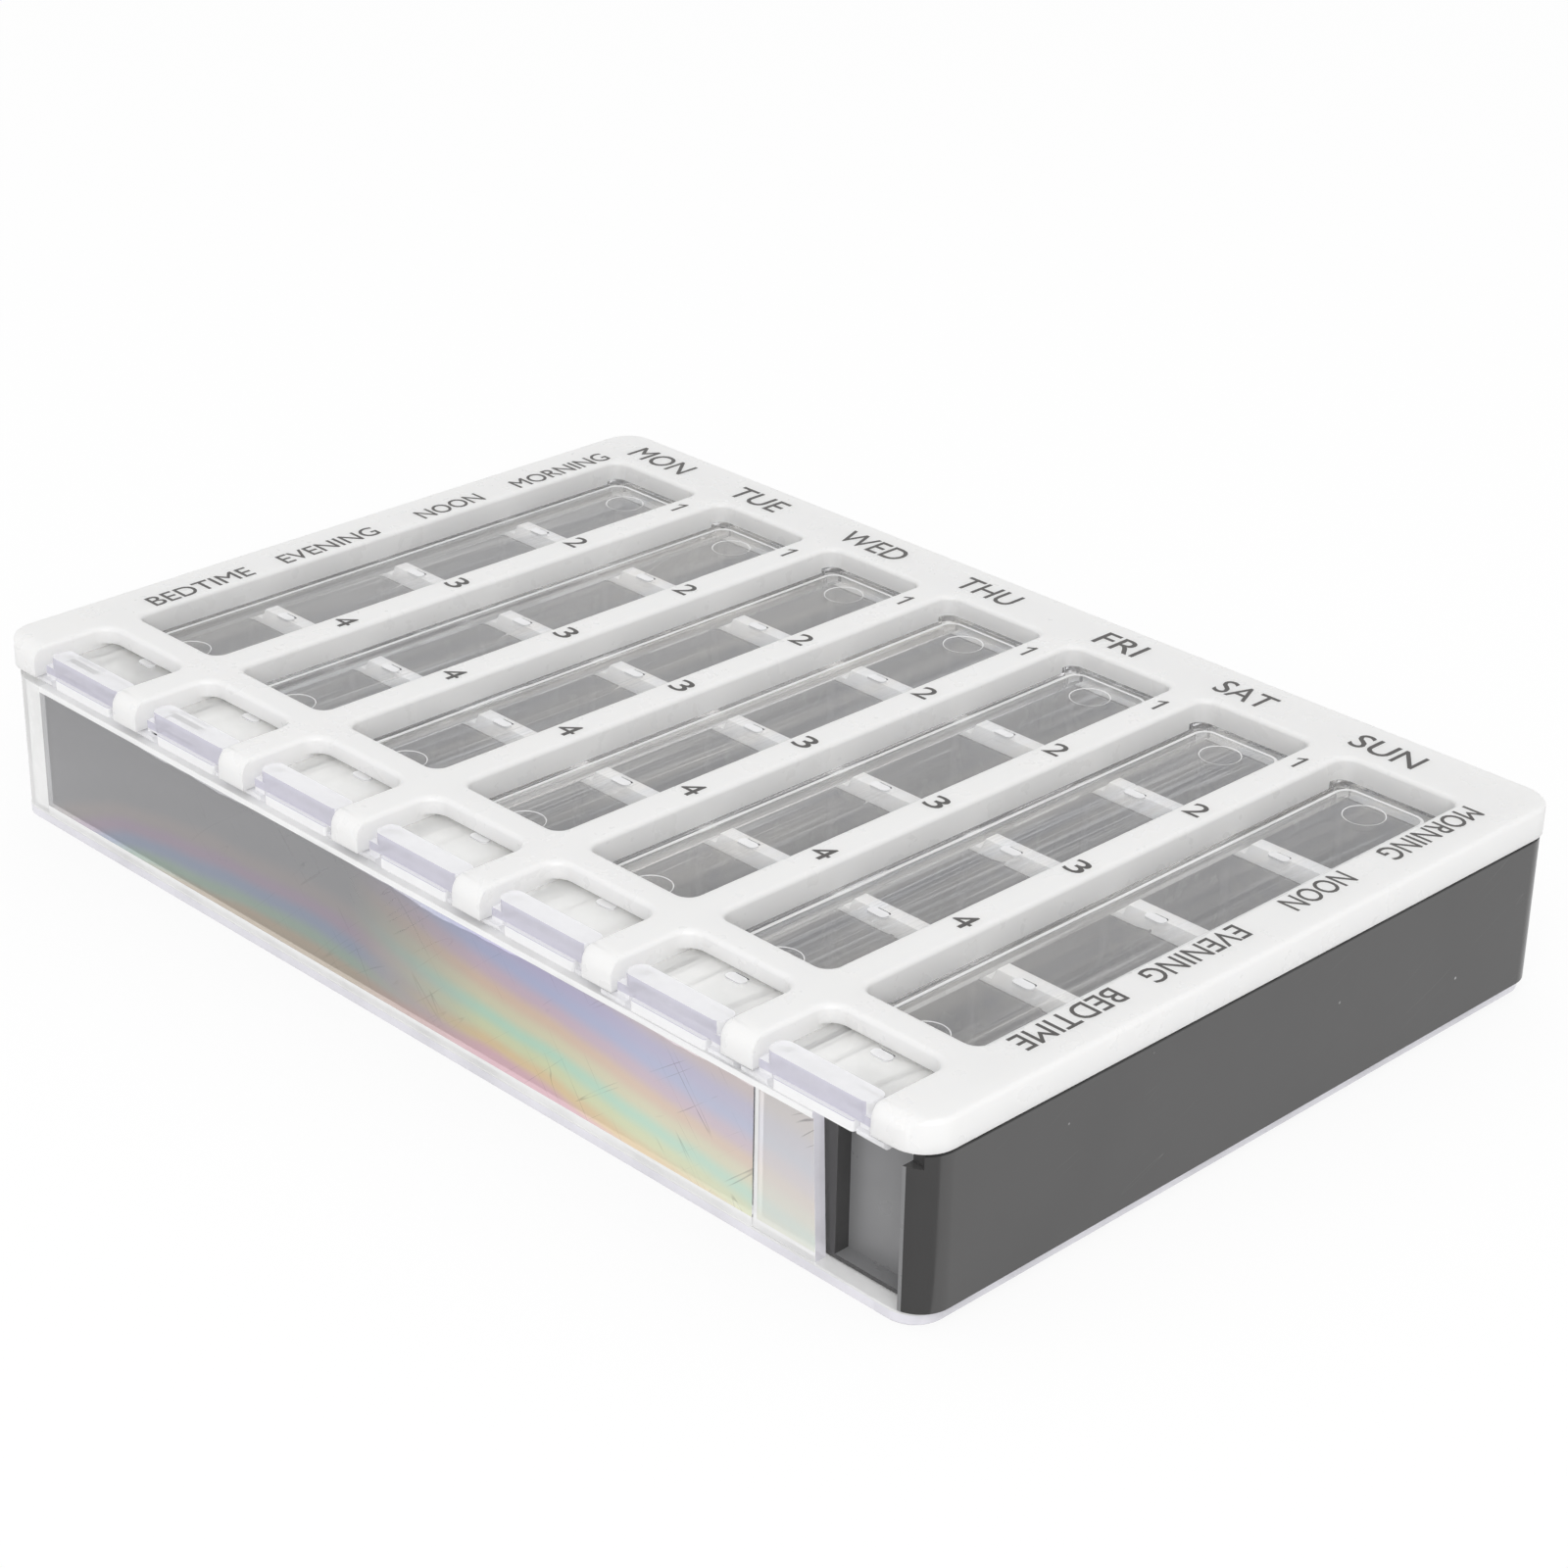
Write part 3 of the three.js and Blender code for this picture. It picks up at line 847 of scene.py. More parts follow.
# %% Block of the top frame
frame_corner = 5.5 * mm
frame_edge = 0.8 * mm
nose_radius = 2.7 * mm
skirt_wall = 2.2 * mm


def frame_block():
    block = slab("top_frame_white", (-half_length, half_length), (-half_width, half_width),
                 (skirt_bottom, frame_top))
    round_corners(block, frame_corner, 10)
    round_edges(block, lambda a, b: min(a.z, b.z) > frame_top - touching, frame_edge, 4)
    nose = slab("nose", (-half_length - over, half_length + over), (-half_width, half_width + over),
                (skirt_bottom - over, frame_top))
    round_edges(nose, lambda a, b: max(a.y, b.y) < 0 and min(a.z, b.z) > frame_top - touching,
                nose_radius, 6)
    return work_on(block, nose, "INTERSECT")


# %% [markdown]
# ### Windows and notches
# Every hole in the frame has a round rim. A bevel after the cut would have to find its way round each
# corner, so the cutter gets the round instead: its top is drawn out in small steps like the bell of a
# trumpet, and the hole that it leaves is rounded the same way.

# %% Cutters for windows and notches
window_corner = 2.5 * mm
notch_corner = 3 * mm
rim_round = 0.8 * mm
rim_steps = 5


def flare(cutter):
    """Spread the top of a cutter step by step, so that the hole it cuts has a round rim."""
    low, high = (Vector(cutter.bound_box[corner]) for corner in (0, 6))
    middle = (low + high) / 2
    width, length = high.x - low.x, high.y - low.y
    pick_faces(cutter, lambda centre, normal: normal.z > 0.9)
    spread = 0
    risen = 0
    for step in range(1, rim_steps + 1):
        angle = math.pi / 2 * step / rim_steps
        wider = rim_round * (1 - math.cos(angle)) - spread
        higher = rim_round * math.sin(angle) - risen
        bpy.ops.mesh.extrude_region_move(TRANSFORM_OT_translate={"value": (0, 0, higher)})
        factors = ((width + 2 * wider) / width, (length + 2 * wider) / length, 1)
        bpy.ops.transform.resize(value=factors, center_override=middle)
        width, length = width + 2 * wider, length + 2 * wider
        spread, risen = spread + wider, risen + higher
    bpy.ops.mesh.extrude_region_move(TRANSFORM_OT_translate={"value": (0, 0, over)})
    bpy.ops.object.mode_set(mode="OBJECT")
    return cutter


def across_window(x):
    """The width of a day's window."""
    return x - window_width / 2, x + window_width / 2


def window_cutter(x):
    cutter = slab("window", across_window(x), (window_front, window_back),
                  (skirt_bottom - over, frame_top - rim_round))
    return flare(round_corners(cutter, window_corner, 8))


def notch_cutter(x):
    cutter = slab("notch", across_window(x), (-half_width - 3 * over, notch_back),
                  (skirt_bottom - over, frame_top - rim_round))
    return flare(round_corners(cutter, notch_corner, 8, lambda place: place.y > -half_width))


def channel_cutter(x):
    """The way of a lid under the front bar."""
    return slab("channel", across_window(x), (-half_width - over, window_front + window_corner),
                (skirt_bottom - over, front_bar_underside))


# %% [markdown]
# ### The finished frame
# From below the frame is hollow: only thin walls hang down at its edge and beside the windows. Hollowing it
# leaves room for the rim of the grid, and keeps its walls as thin as moulded plastic is.

# %% Top frame
window_wall = 1.5 * mm


def build_top_frame():
    piece = frame_block()
    for cutter in (window_cutter, notch_cutter, channel_cutter):
        cut(piece, as_one([cutter(x) for x in day_centres]))
    side_inner = day_centres[-1] + window_width / 2 + window_wall
    side_outer = half_length - skirt_wall
    back_room = (window_back + window_wall, half_width - skirt_wall)
    height = (skirt_bottom - over, front_bar_underside)
    for side in (-1, 1):
        cut(piece, slab("room", mirrored(side, side_inner, side_outer),
                        (notch_back, half_width - skirt_wall), height))
    cut(piece, slab("room", (-side_outer, side_outer), back_room, height))
    even_shade(soften(weld(piece), 0.3 * mm, 3))
    paint_with(piece, white_gloss)
    hand_over(piece, "white_plastic", "casing_body", "top_frame")


build_top_frame()

# %% [markdown]
# ## The sliding lids
# A lid is a clear plate in its window with a rail down each side that runs under the frame's bars. The two
# rails come out at the front as ears, and a thick block between them is the pull lip, with a low toe below
# it. One lid is built in the middle and copied to each day.

# %% Plate, rails and lip
lid_low, lid_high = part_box("lid_thu")
lid_top = frame_top - 3.3 * mm
lid_underside = lid_top - 1.3 * mm
flange_top = skirt_bottom - gap
flange_underside = lid_low.z
lid_half = window_width / 2 - gap
rail_inner = lid_half - 2.35 * mm
flange_outer = lid_high.x
lid_back = lid_high.y
ear_front = lid_low.y
ear_round = 1 * mm
lip_front = ear_front + 0.8 * mm
lip_half = 9.55 * mm
lip_depth = 3.7 * mm
lip_corner = 1.5 * mm
lip_top = lid_high.z
toe_half = 7.4 * mm
toe_reach = 0.65 * mm
toe_depth = 1.3 * mm
toe_corner = 0.5 * mm


def lid_plate():
    plate = slab("lid", (-lid_half, lid_half), (lip_front, lid_back), (flange_underside, lid_top))
    round_corners(plate, window_corner - gap, 8, lambda place: place.y > 0)
    under = slab("under", (-rail_inner, rail_inner), (lip_front - over, lid_back + over),
                 (flange_underside - over, lid_underside))
    return cut(plate, under)


def lid_flange(side):
    """The outer half of a rail, which the frame's bar holds down. Its front end is an ear."""
    flange = slab("flange", mirrored(side, rail_inner, flange_outer),
                  (ear_front, lid_back - window_corner + gap), (flange_underside, flange_top))
    return round_edges(flange, lambda a, b: max(a.y, b.y) < ear_front + touching
                       and max(a.z, b.z) < flange_underside + touching, ear_round, 5)


def lid_lip():
    lip = slab("lip", (-lip_half, lip_half), (lip_front, lip_front + lip_depth), (lid_underside, lip_top))
    return round_corners(lip, lip_corner, 6)


def lid_toe():
    """The low step that looks out under the lip, between the ears."""
    toe = slab("toe", (-toe_half, toe_half), (lip_front - toe_reach, lip_front + toe_depth),
               (flange_underside + gap, lid_underside + 0.1 * mm))
    return round_corners(toe, toe_corner, 4)


# %% [markdown]
# ### The lid's fine forms
# A thin raised line follows the plate's edge, and outside it a groove leaves only a thin wall above the
# rail. Small pills click past the front bar, each with a short slot behind it, and the mould's ejector pins
# left two round marks. All but the groove are less than half a millimetre high, and each is a small block
# or ring of its own, placed by the surface that it stands on.

# %% Ridge, groove, pills and marks
ridge_edge = rail_inner - 0.2 * mm
ridge_width = 0.5 * mm
ridge_corner = 2.4 * mm
ridge_inset = 1.9 * mm
ridge_height = 0.08 * mm
ridge_root = 0.3 * mm
rail_wall = 1 * mm
groove_inset = 2.4 * mm
groove_corner = 1 * mm
pill_half = 1.75 * mm
pill_width = 1.7 * mm
pill_corner = 0.8 * mm
pill_lead = 1.8 * mm
pill_height = 0.25 * mm
pill_root = 0.2 * mm
slot_half = 1.3 * mm
slot_start = 0.95 * mm
slot_end = 1.3 * mm
slot_corner = 0.15 * mm
slot_depth = 0.3 * mm
ring_radius = 3.35 * mm
ring_width = 0.32 * mm
ring_height = 0.06 * mm
ring_root = 0.5 * mm
ring_places = (48.6 * mm, -45.7 * mm)
pill_places = [y - cell_length - cell_wall / 2 - pill_lead for y in cell_backs]


def lid_ridge():
    """The fine raised line along the sides of the plate and round its back corners."""
    back = lid_back - ridge_inset
    line = slab("ridge", (-ridge_edge, ridge_edge), (window_front - over, back),
                (lid_top - ridge_root, lid_top + ridge_height))
    round_corners(line, ridge_corner, 8, lambda place: place.y > 0)
    inner = ridge_edge - ridge_width
    room = slab("room", (-inner, inner), (window_front - 2 * over, back - ridge_width),
                (lid_top - over, lid_top + over))
    round_corners(room, ridge_corner - ridge_width, 8, lambda place: place.y > 0)
    return cut(line, room)


def lid_groove(side):
    """The groove that leaves only a thin wall between the plate and its rail below."""
    groove = slab("groove", mirrored(side, rail_inner + rail_wall, lid_half + over),
                  (window_front - over, lid_back - groove_inset), (flange_top, lid_top + over))
    return round_corners(groove, groove_corner, 6, lambda place: abs(place.x) < lid_half)


def lid_pill(y):
    """A small pill, its long way across the lid."""
    pill = slab("pill", (-pill_half, pill_half), (y - pill_width / 2, y + pill_width / 2),
                (lid_underside + pill_root, lid_top + pill_height))
    return round_corners(pill, pill_corner, 5)


def click_slot(y):
    """The short click groove just behind a pill."""
    slot = slab("slot", (-slot_half, slot_half), (y + slot_start, y + slot_end),
                (lid_top - slot_depth, lid_top + over))
    return round_corners(slot, slot_corner, 3)


def ejector_mark(y):
    """A thin ring standing a hair above the plate."""
    bpy.ops.object.select_all(action="DESELECT")
    bpy.ops.mesh.primitive_cylinder_add(vertices=48, radius=ring_radius, depth=ring_root,
                                        location=(0, y, lid_top - ring_root / 2 + ring_height))
    mark = bpy.context.object
    bpy.ops.object.transform_apply(location=True, rotation=True, scale=True)
    pick_faces(mark, lambda centre, normal: normal.z > 0.9)
    bpy.ops.mesh.inset(thickness=ring_width, depth=0)
    bpy.ops.transform.translate(value=(0, 0, -2 * ring_height))
    bpy.ops.object.mode_set(mode="OBJECT")
    return mark


# %% [markdown]
# ### Painting a lid
# The plate is clear, the lip is hazy and its front has the lavender of a thick edge. The ridge, the marks,
# the small pills and the lip's top front edge are painted milky white, a painted highlight, and the slots
# get a painted shade. The ridge and the rings are joined after the softening, because its bevels are
# larger than they are.

# %% Finishes of a lid
hair = 0.01 * mm


def on_pill(centre):
    """True on the part of a small pill that stands over the plate."""
    across = abs(centre.x) < pill_half + 0.05 * mm
    return across and centre.z > lid_top + hair and lip_front + 5 * mm < centre.y < 40 * mm


def in_slot(centre):
    """True inside the click groove behind a small pill."""
    starts = [y + slot_start - 0.05 * mm for y in pill_places]
    near = any(start < centre.y < start + 0.45 * mm for start in starts)
    low = lid_top - slot_depth - 0.05 * mm
    return near and abs(centre.x) < slot_half + 0.1 * mm and low < centre.z < lid_top - 2 * hair


def paint_lid(lid, lip_back, lip_foot, front_part):
    """Paint from the large parts to the small ones, each over the one before."""
    paint_with(lid, clear_lid, clear_edge, clear_lip, frosted_and_painted_highlight, clear_shade, clear_front)
    paint_faces(lid, clear_front, lambda centre, normal: centre.y < front_part)
    paint_faces(lid, clear_lip, lambda centre, normal: centre.y < lip_back)
    paint_faces(lid, clear_edge, lambda centre, normal: normal.y < -0.5 and centre.z > lip_foot
                and centre.y < lip_front + 0.2 * mm)
    paint_faces(lid, frosted_and_painted_highlight, lambda centre, normal: centre.y < lip_back and centre.z < lip_foot
                and abs(centre.x) < toe_half + 0.1 * mm)
    # Painted highlight: the lip's top front edge is painted milky white.
    paint_faces(lid, frosted_and_painted_highlight, lambda centre, normal: normal.y < -0.2 and normal.z > 0.3
                and centre.y < lip_front + 0.3 * mm and centre.z > lip_top - 0.3 * mm)
    # Painted highlight: the ridge and the mould marks are painted milky white.
    raised = paint_faces(lid, frosted_and_painted_highlight, lambda centre, normal: centre.z > lid_top + hair
                         and centre.y > window_front - 1.1 * over)
    # Painted highlight: the small pills are painted hazy white.
    paint_faces(lid, clear_lip, lambda centre, normal: on_pill(centre))
    # Painted shade: the click slots get a dark clear paint.
    paint_faces(lid, clear_shade, lambda centre, normal: in_slot(centre))
    print("faces on the ridge, the mould marks and the pills:", raised)


def build_lid():
    lip_back = lip_front + lip_depth + 0.2 * mm
    lip_foot = lid_underside - 0.05 * mm
    front_part = (window_front + notch_back) / 2
    lid = lid_plate()
    join(lid, lid_flange(-1), lid_flange(1), lid_lip(), lid_toe())
    cut(lid, lid_groove(-1), lid_groove(1))
    for y in pill_places:
        join(lid, lid_pill(y))
        cut(lid, click_slot(y))
    soften(weld(lid), 0.14 * mm, 3)
    slice_at(lid, 1, lip_back, front_part)
    slice_at(lid, 2, lip_foot)
    join(lid, lid_ridge())
    for y in ring_places:
        join(lid, ejector_mark(y))
    even_shade(lid)
    paint_lid(lid, lip_back, lip_foot, front_part)
    return lid


# %% [markdown]
# ### Seven lids
# The lids are alike, so the finished one is copied to each day, with its place in its mesh. The last two
# stand a little open, and the frame's own places of the lids say by how much.

# %% Seven lids
first_lid = build_lid()
for day, x in zip(days, day_centres):
    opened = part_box("lid_" + day)[0].y - ear_front
    lid = copy_to(first_lid, "clear_lid_" + day, Vector((x, opened, 0)))
    hand_over(lid, "clear_lid", "lid_" + day, "lid_" + day)
bpy.data.objects.remove(first_lid)

# %% [markdown]
# ## The white grid
# Under the lids lies a thin white sheet with a hole for each well. A bar stands between two wells, and an
# apron with a tongue fills the notch below each lip. A rim round the back and the sides locates the sheet
# in the frame.

# %% Sheet, rim and holes
grid_low, grid_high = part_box("cell_grid")
grid_top = flange_underside - gap
bar_top = lid_underside - gap
cell_corner = 1.2 * mm
casing_corner = 2.5 * mm
rim_wall = 1.2 * mm


def grid_sheet():
    sheet = slab("cell_grid_white", (grid_low.x, grid_high.x), (grid_low.y, grid_high.y),
                 (grid_low.z, grid_top))
    return round_corners(sheet, casing_corner, 6, lambda place: place.x < 0)


def grid_rim():
    rim_front = notch_back + gap
    rim = slab("rim", (grid_low.x, grid_high.x), (rim_front, grid_high.y), (grid_low.z, grid_high.z))
    round_corners(rim, casing_corner, 6, lambda place: place.x < 0 and place.y > 0)
    inside = slab("inside", (grid_low.x + rim_wall, grid_high.x - rim_wall),
                  (rim_front - over, grid_high.y - rim_wall), (grid_low.z - over, grid_high.z + over))
    return cut(rim, inside)


def cell_holes(dose):
    """One hole for each day. Those of the last dose run on under the front bar."""
    back = cell_backs[dose]
    front = back - cell_length - (cell_wall - gap if dose == doses - 1 else 0)
    height = (grid_low.z - over, grid_top + over)
    return as_one([round_corners(slab("hole", across_window(x), (front, back), height), cell_corner, 5)
                   for x in day_centres])


# %% [markdown]
# ### Bars, aprons and tongues
# A bar's ends slope down beside the lid's rails, so the upper corners of a block are moved inwards. A wedge
# could be cut off instead, but moving four points is simpler. The apron below a lip is made of blocks that
# overlap by a hair, so that they join into one shape.

# %% Cell grid
bar_half = rail_inner - gap
bar_slope = 1.4 * mm
tongue_half = 3.6 * mm
apron_inset = 1.3 * mm
front_wall_back = cell_backs[-1] - cell_length


def cross_bar(x, back):
    """A bar between two wells. Its ends slope down to the sheet beside the lid's rails."""
    bar = slab("bar", (x - bar_half, x + bar_half), (back - cell_wall, back), (grid_low.z, bar_top))
    for point in bar.data.vertices:
        if point.co.z > bar_top - touching:
            point.co.x += math.copysign(bar_slope, x - point.co.x)
    return bar


def apron(inner, outer, front, top):
    """A block on each side of each tongue, between two distances from its middle."""
    return as_one([slab("beside", sorted((x + side * inner, x + side * outer)), (front, front_wall_back),
                        (grid_low.z, top)) for x in day_centres for side in (-1, 1)])


def tongues():
    return as_one([slab("tongue", (x - tongue_half, x + tongue_half), (grid_low.y, front_wall_back),
                        (grid_low.z, bar_top)) for x in day_centres])


def build_grid():
    grid = join(grid_sheet(), grid_rim())
    for dose, back in enumerate(cell_backs):
        cut(grid, cell_holes(dose))
        if dose < doses - 1:
            join(grid, as_one([cross_bar(x, back - cell_length) for x in day_centres]))
    join(grid, apron(tongue_half + apron_inset, bar_half, grid_low.y + gap, bar_top - gap))
    join(grid, apron(bar_half - gap, window_width / 2 + gap, front_wall_back - cell_wall, grid_top))
    join(grid, tongues())
    even_shade(soften(weld(grid), 0.22 * mm, 2))
    paint_with(grid, milk_gloss)
    hand_over(grid, "milk_plastic", "casing_body", "cell_grid")


build_grid()

# %% [markdown]
# ## The wells
# Each day has a dark column of four wells, open at the bottom, where the clear cover closes them. The
# walls could be set up one by one, but four holes cut in one block leave them all joined. In front of the
# wells, under the notch, the block has an empty chamber with a roof. One column is built and copied, like
# the lids.

# %% Wells
well_low, well_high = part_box("wells_thu")
chamber_roof = 2 * mm


def build_wells():
    column = slab("wells", (well_low.x, well_high.x), (well_low.y, well_high.y), (well_low.z, well_high.z))
    for back in cell_backs:
        cell = slab("cell", across_window(0), (back - cell_length, back),
                    (well_low.z - over, well_high.z + over))
        cut(column, round_corners(cell, cell_corner, 5))
    chamber = slab("chamber", across_window(0), (well_low.y + cell_wall, front_wall_back - cell_wall),
                   (well_low.z - over, well_high.z - chamber_roof))
    cut(column, chamber)
    even_shade(soften(weld(column), 0.2 * mm, 2))
    return paint_with(column, well_grey_painted_sheen)


first_wells = build_wells()
for day, x in zip(days, day_centres):
    column = copy_to(first_wells, "dark_wells_" + day, Vector((x, 0, 0)))
    hand_over(column, "slate_wells", "casing_body", "wells_" + day)
bpy.data.objects.remove(first_wells)

# %% [markdown]
# ## The dark casing
# The casing is a glossy dark box round the wells, with a shallow pocket at the right of each long side that
# lets a finger start the cover. Its walls could be four separate blocks, but they are one moulding, so one
# block is hollowed.

# %% Casing walls and pockets
casing_low, casing_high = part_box("casing")
end_low, end_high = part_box("casing_end")
casing_wall = 2 * mm
pocket_width = 11.2 * mm
pocket_depth = 2.5 * mm
sill_height = 0.7 * mm
pillar_left = 98.3 * mm
sill_top = casing_low.z + sill_height
pocket_left = casing_high.x - pocket_width
pocket_back = casing_high.y - pocket_depth


def casing_shell():
    shell = slab("casing_dark", (casing_low.x, pillar_left + over), (casing_low.y, casing_high.y),
                 (casing_low.z, casing_high.z))
    round_corners(shell, casing_corner, 6, lambda place: place.x < 0)
    inner = casing_high.y - casing_wall
    cut(shell, slab("room", (casing_low.x + casing_wall, pillar_left + 2 * over), (-inner, inner),
                    (casing_low.z - over, casing_high.z + over)))
    for side in (-1, 1):
        wall = mirrored(side, inner + casing_wall / 2, pocket_back - casing_wall)
        join(shell, slab("wall", (pocket_left - casing_wall, pillar_left + over), wall,
                         (casing_low.z, casing_high.z)))
        cut(shell, slab("pocket", (pocket_left, pillar_left + 2 * over),
                        mirrored(side, casing_high.y + over, pocket_back),
                        (sill_top, casing_high.z + over)))
    return shell


# %% [markdown]
# ### The casing's right end
# The right end stands full height, with a proud pillar at each corner and a small slot in the top of each
# pillar. The whole end starts as one block. What lies left of the pillars is cut away, down to the pocket's
# back above the sill and to the casing's side below it.

# %% Casing end
end_corner = 5.2 * mm
notch_inset = 1.7 * mm
notch_width = 3.3 * mm
notch_reach = 2.1 * mm
notch_drop = 2.2 * mm


def casing_end_wall():
    end = slab("end", (end_low.x, end_high.x), (end_low.y, end_high.y), (end_low.z, end_high.z))
    round_corners(end, end_corner, 14, lambda place: place.x > end_high.x - over)
    for side in (-1, 1):
        for near, low in ((pocket_back, sill_top), (casing_high.y, end_low.z - over)):
            cut(end, slab("beside", (end_low.x - over, pillar_left),
                          mirrored(side, near, end_high.y + over), (low, end_high.z + over)))
    inner_right = end_high.x - casing_wall
    cut(end, slab("room", (end_low.x - over, inner_right), (-pocket_back, pocket_back),
                  (end_low.z - over, end_high.z + over)))
    grid_half = grid_high.y + gap
    cut(end, slab("grid_room", (end_low.x - over, inner_right), (-grid_half, grid_half),
                  (casing_high.z, end_high.z + over)))
    notch_right = end_high.x - notch_inset
    for side in (-1, 1):
        cut(end, slab("pillar_notch", (notch_right - notch_width, notch_right),
                      mirrored(side, end_high.y + over, end_high.y - notch_reach),
                      (end_high.z - notch_drop, end_high.z + over)))
    return end


# %% [markdown]
# ### The finished casing
# The pocket's back and sill get a paler slate: a painted sheen that lifts the shade of the recess, under
# the dark plastic's dust specks. The left edge of each pillar gets the same paler slate as a painted
# highlight. The thin gap under the frame is in deep shade, so the casing's upper edge gets the darkest
# paint, a painted shadow. One piece stands for both CAD nodes, the casing and its end.

# %% Casing
painted_shadow_band = 0.3 * mm
# Width of the painted highlight on each pillar's left edge.
pillar_highlight_width = 0.55 * mm


def build_casing():
    piece = join(casing_shell(), casing_end_wall())
    soften(weld(piece), 0.25 * mm, 3)
    slice_at(piece, 2, end_high.z - painted_shadow_band)
    slice_at(piece, 0, pillar_left + pillar_highlight_width)
    even_shade(piece)
    paint_with(piece, slate_gloss, slate_painted_sheen, slate_painted_shadow)
    # Painted sheen: the pocket's back and sill get the paler slate, which lifts the shade of the recess.
    paint_faces(piece, slate_painted_sheen, lambda centre, normal: abs(normal.y) > 0.9
                and pocket_left < centre.x < pillar_left and abs(abs(centre.y) - pocket_back) < 0.1 * mm)
    paint_faces(piece, slate_painted_sheen, lambda centre, normal: normal.z > 0.9
                and centre.z < casing_low.z + over and pocket_left < centre.x < pillar_left
                and abs(centre.y) > pocket_back)
    # Painted highlight: the left edge of each pillar gets the paler slate.
    paint_faces(piece, slate_painted_sheen, lambda centre, normal: abs(normal.y) > 0.1
                and abs(centre.y) > casing_high.y + over
                and pillar_left - hair < centre.x < pillar_left + pillar_highlight_width)
    # Painted shadow: the casing's upper edge, under the gap below the frame, gets near black.
    paint_faces(piece, slate_painted_shadow, lambda centre, normal: centre.z > end_high.z - painted_shadow_band)
    hand_over(piece, "slate_plastic", "casing_body", "casing", "casing_end")


build_casing()

# %% [markdown]
# ## The clear cover
# The cover is a clear tray that slides over the casing from the left: a floor, a left wall and two long
# walls that end short of the right side, where a slanted edge shows. The floor reaches a hair further out
# than the walls, so they are two shapes, each softened by itself and then joined.

# %% Cover walls
cover_low, cover_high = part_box("bottom_cover")
cover_floor = 1.8 * mm
cover_wall = 2.3 * mm
cover_corner = 5 * mm
cover_ledge = 0.1 * mm
cover_round = 0.25 * mm
wall_end_top = half_length - 20.55 * mm
wall_end_low = wall_end_top + 1.1 * mm
ridge_step = 0.25 * mm
bead_height = 1 * mm
bead_foot = grid_top - bead_height


def slanted_cutter():
    """The block that clears the right end, with its left face leaning as the wall's end does."""
    cutter = slab("end_room", (wall_end_top, cover_high.x + over),
                  (cover_low.y - over, cover_high.y + over), (cover_low.z, cover_high.z + over))
    lean = (wall_end_low - wall_end_top) / grid_top
    for point in cutter.data.vertices:
        if point.co.x < wall_end_top + touching:
            point.co.x += lean * (grid_top - point.co.z)
    return cutter


def cover_walls():
    """The left wall and the two long walls, a hair inside the edge of the floor that carries them."""
    outer = cover_high.y - cover_ledge
    walls = slab("walls", (cover_low.x + cover_ledge, wall_end_low + over), (-outer, outer),
                 (cover_low.z + over, cover_high.z))
    round_corners(walls, cover_corner - cover_ledge, 12, lambda place: place.x < 0)
    inner = cover_high.y - cover_wall
    room = slab("room", (cover_low.x + cover_wall, cover_high.x + over), (-inner, inner),
                (cover_low.z, cover_high.z + over))
    round_corners(room, cover_corner - cover_wall, 8, lambda place: place.x < 0)
    cut(walls, room, slanted_cutter())
    cut(walls, slab("front_room", (cover_low.x + cover_wall + gap, cover_high.x + over),
                    (cover_low.y - over, 0), (grid_top, cover_high.z + over)))
    for side in (-1, 1):
        step = mirrored(side, outer - ridge_step, outer + over)
        cut(walls, slab("step", (ridge_place, cover_high.x), step, (cover_floor, bead_foot)))
    return soften(weld(walls), cover_round, 3)


# %% [markdown]
# ### The finished cover
# Only the faces of the long walls carry the stress bands. The edge of the floor and the top strip of the
# long walls look milky. The cut ends and the floor's edge faces are lavender, lighter than a thick edge's
# own, partly a painted lift of their shade. A pale line beside the ridge is a painted highlight. The milky
# paints stay near the edges, so the tray is clear when it is slid off.

# %% Clear cover
ridge_highlight_width = 0.7 * mm
milky_side = 62.5 * mm
milky_right = 83 * mm
stress_left = -93.5 * mm
stress_bottom = 3.3 * mm
end_faces_right = half_length - 10 * mm


def on_long_wall(centre, normal):
    """True on a long wall's own faces, inside or outside."""
    return abs(normal.y) > 0.9 and centre.z > cover_floor


def paint_cover(cover):
    """Paint from the large parts to the small ones, each over the one before."""
    paint_with(cover, clear_cover, stressed_clear, clear_base, clear_band, clear_end)
    paint_faces(cover, clear_band, lambda centre, normal: abs(centre.y) > milky_side
                and (centre.z < stress_bottom or centre.z > bead_foot))
    paint_faces(cover, clear_base, lambda centre, normal:
                (abs(centre.y) > milky_side or centre.x > milky_right)
                and (centre.z < cover_floor + 0.1 * mm or centre.x < stress_left))
    # Painted light: the floor's edges and the cut ends get a lighter lavender that lifts their shade.
    paint_faces(cover, clear_end, lambda centre, normal: abs(normal.z) < 0.6
                and centre.z < cover_floor - 0.3 * mm)
    paint_faces(cover, clear_end, lambda centre, normal: normal.x > 0.6
                and ridge_place + over < centre.x < end_faces_right)
    stressed = paint_faces(cover, stressed_clear, lambda centre, normal: on_long_wall(centre, normal)
                           and stress_left < centre.x < wall_end_low
                           and stress_bottom < centre.z < bead_foot
                           and abs(centre.y) > cover_high.y - 2 * ridge_step)
    # Painted highlight: a pale line beside the ridge step.
    paint_faces(cover, clear_band, lambda centre, normal: on_long_wall(centre, normal)
                and ridge_place < centre.x < ridge_place + ridge_highlight_width)
    print("faces with stress bands:", stressed)


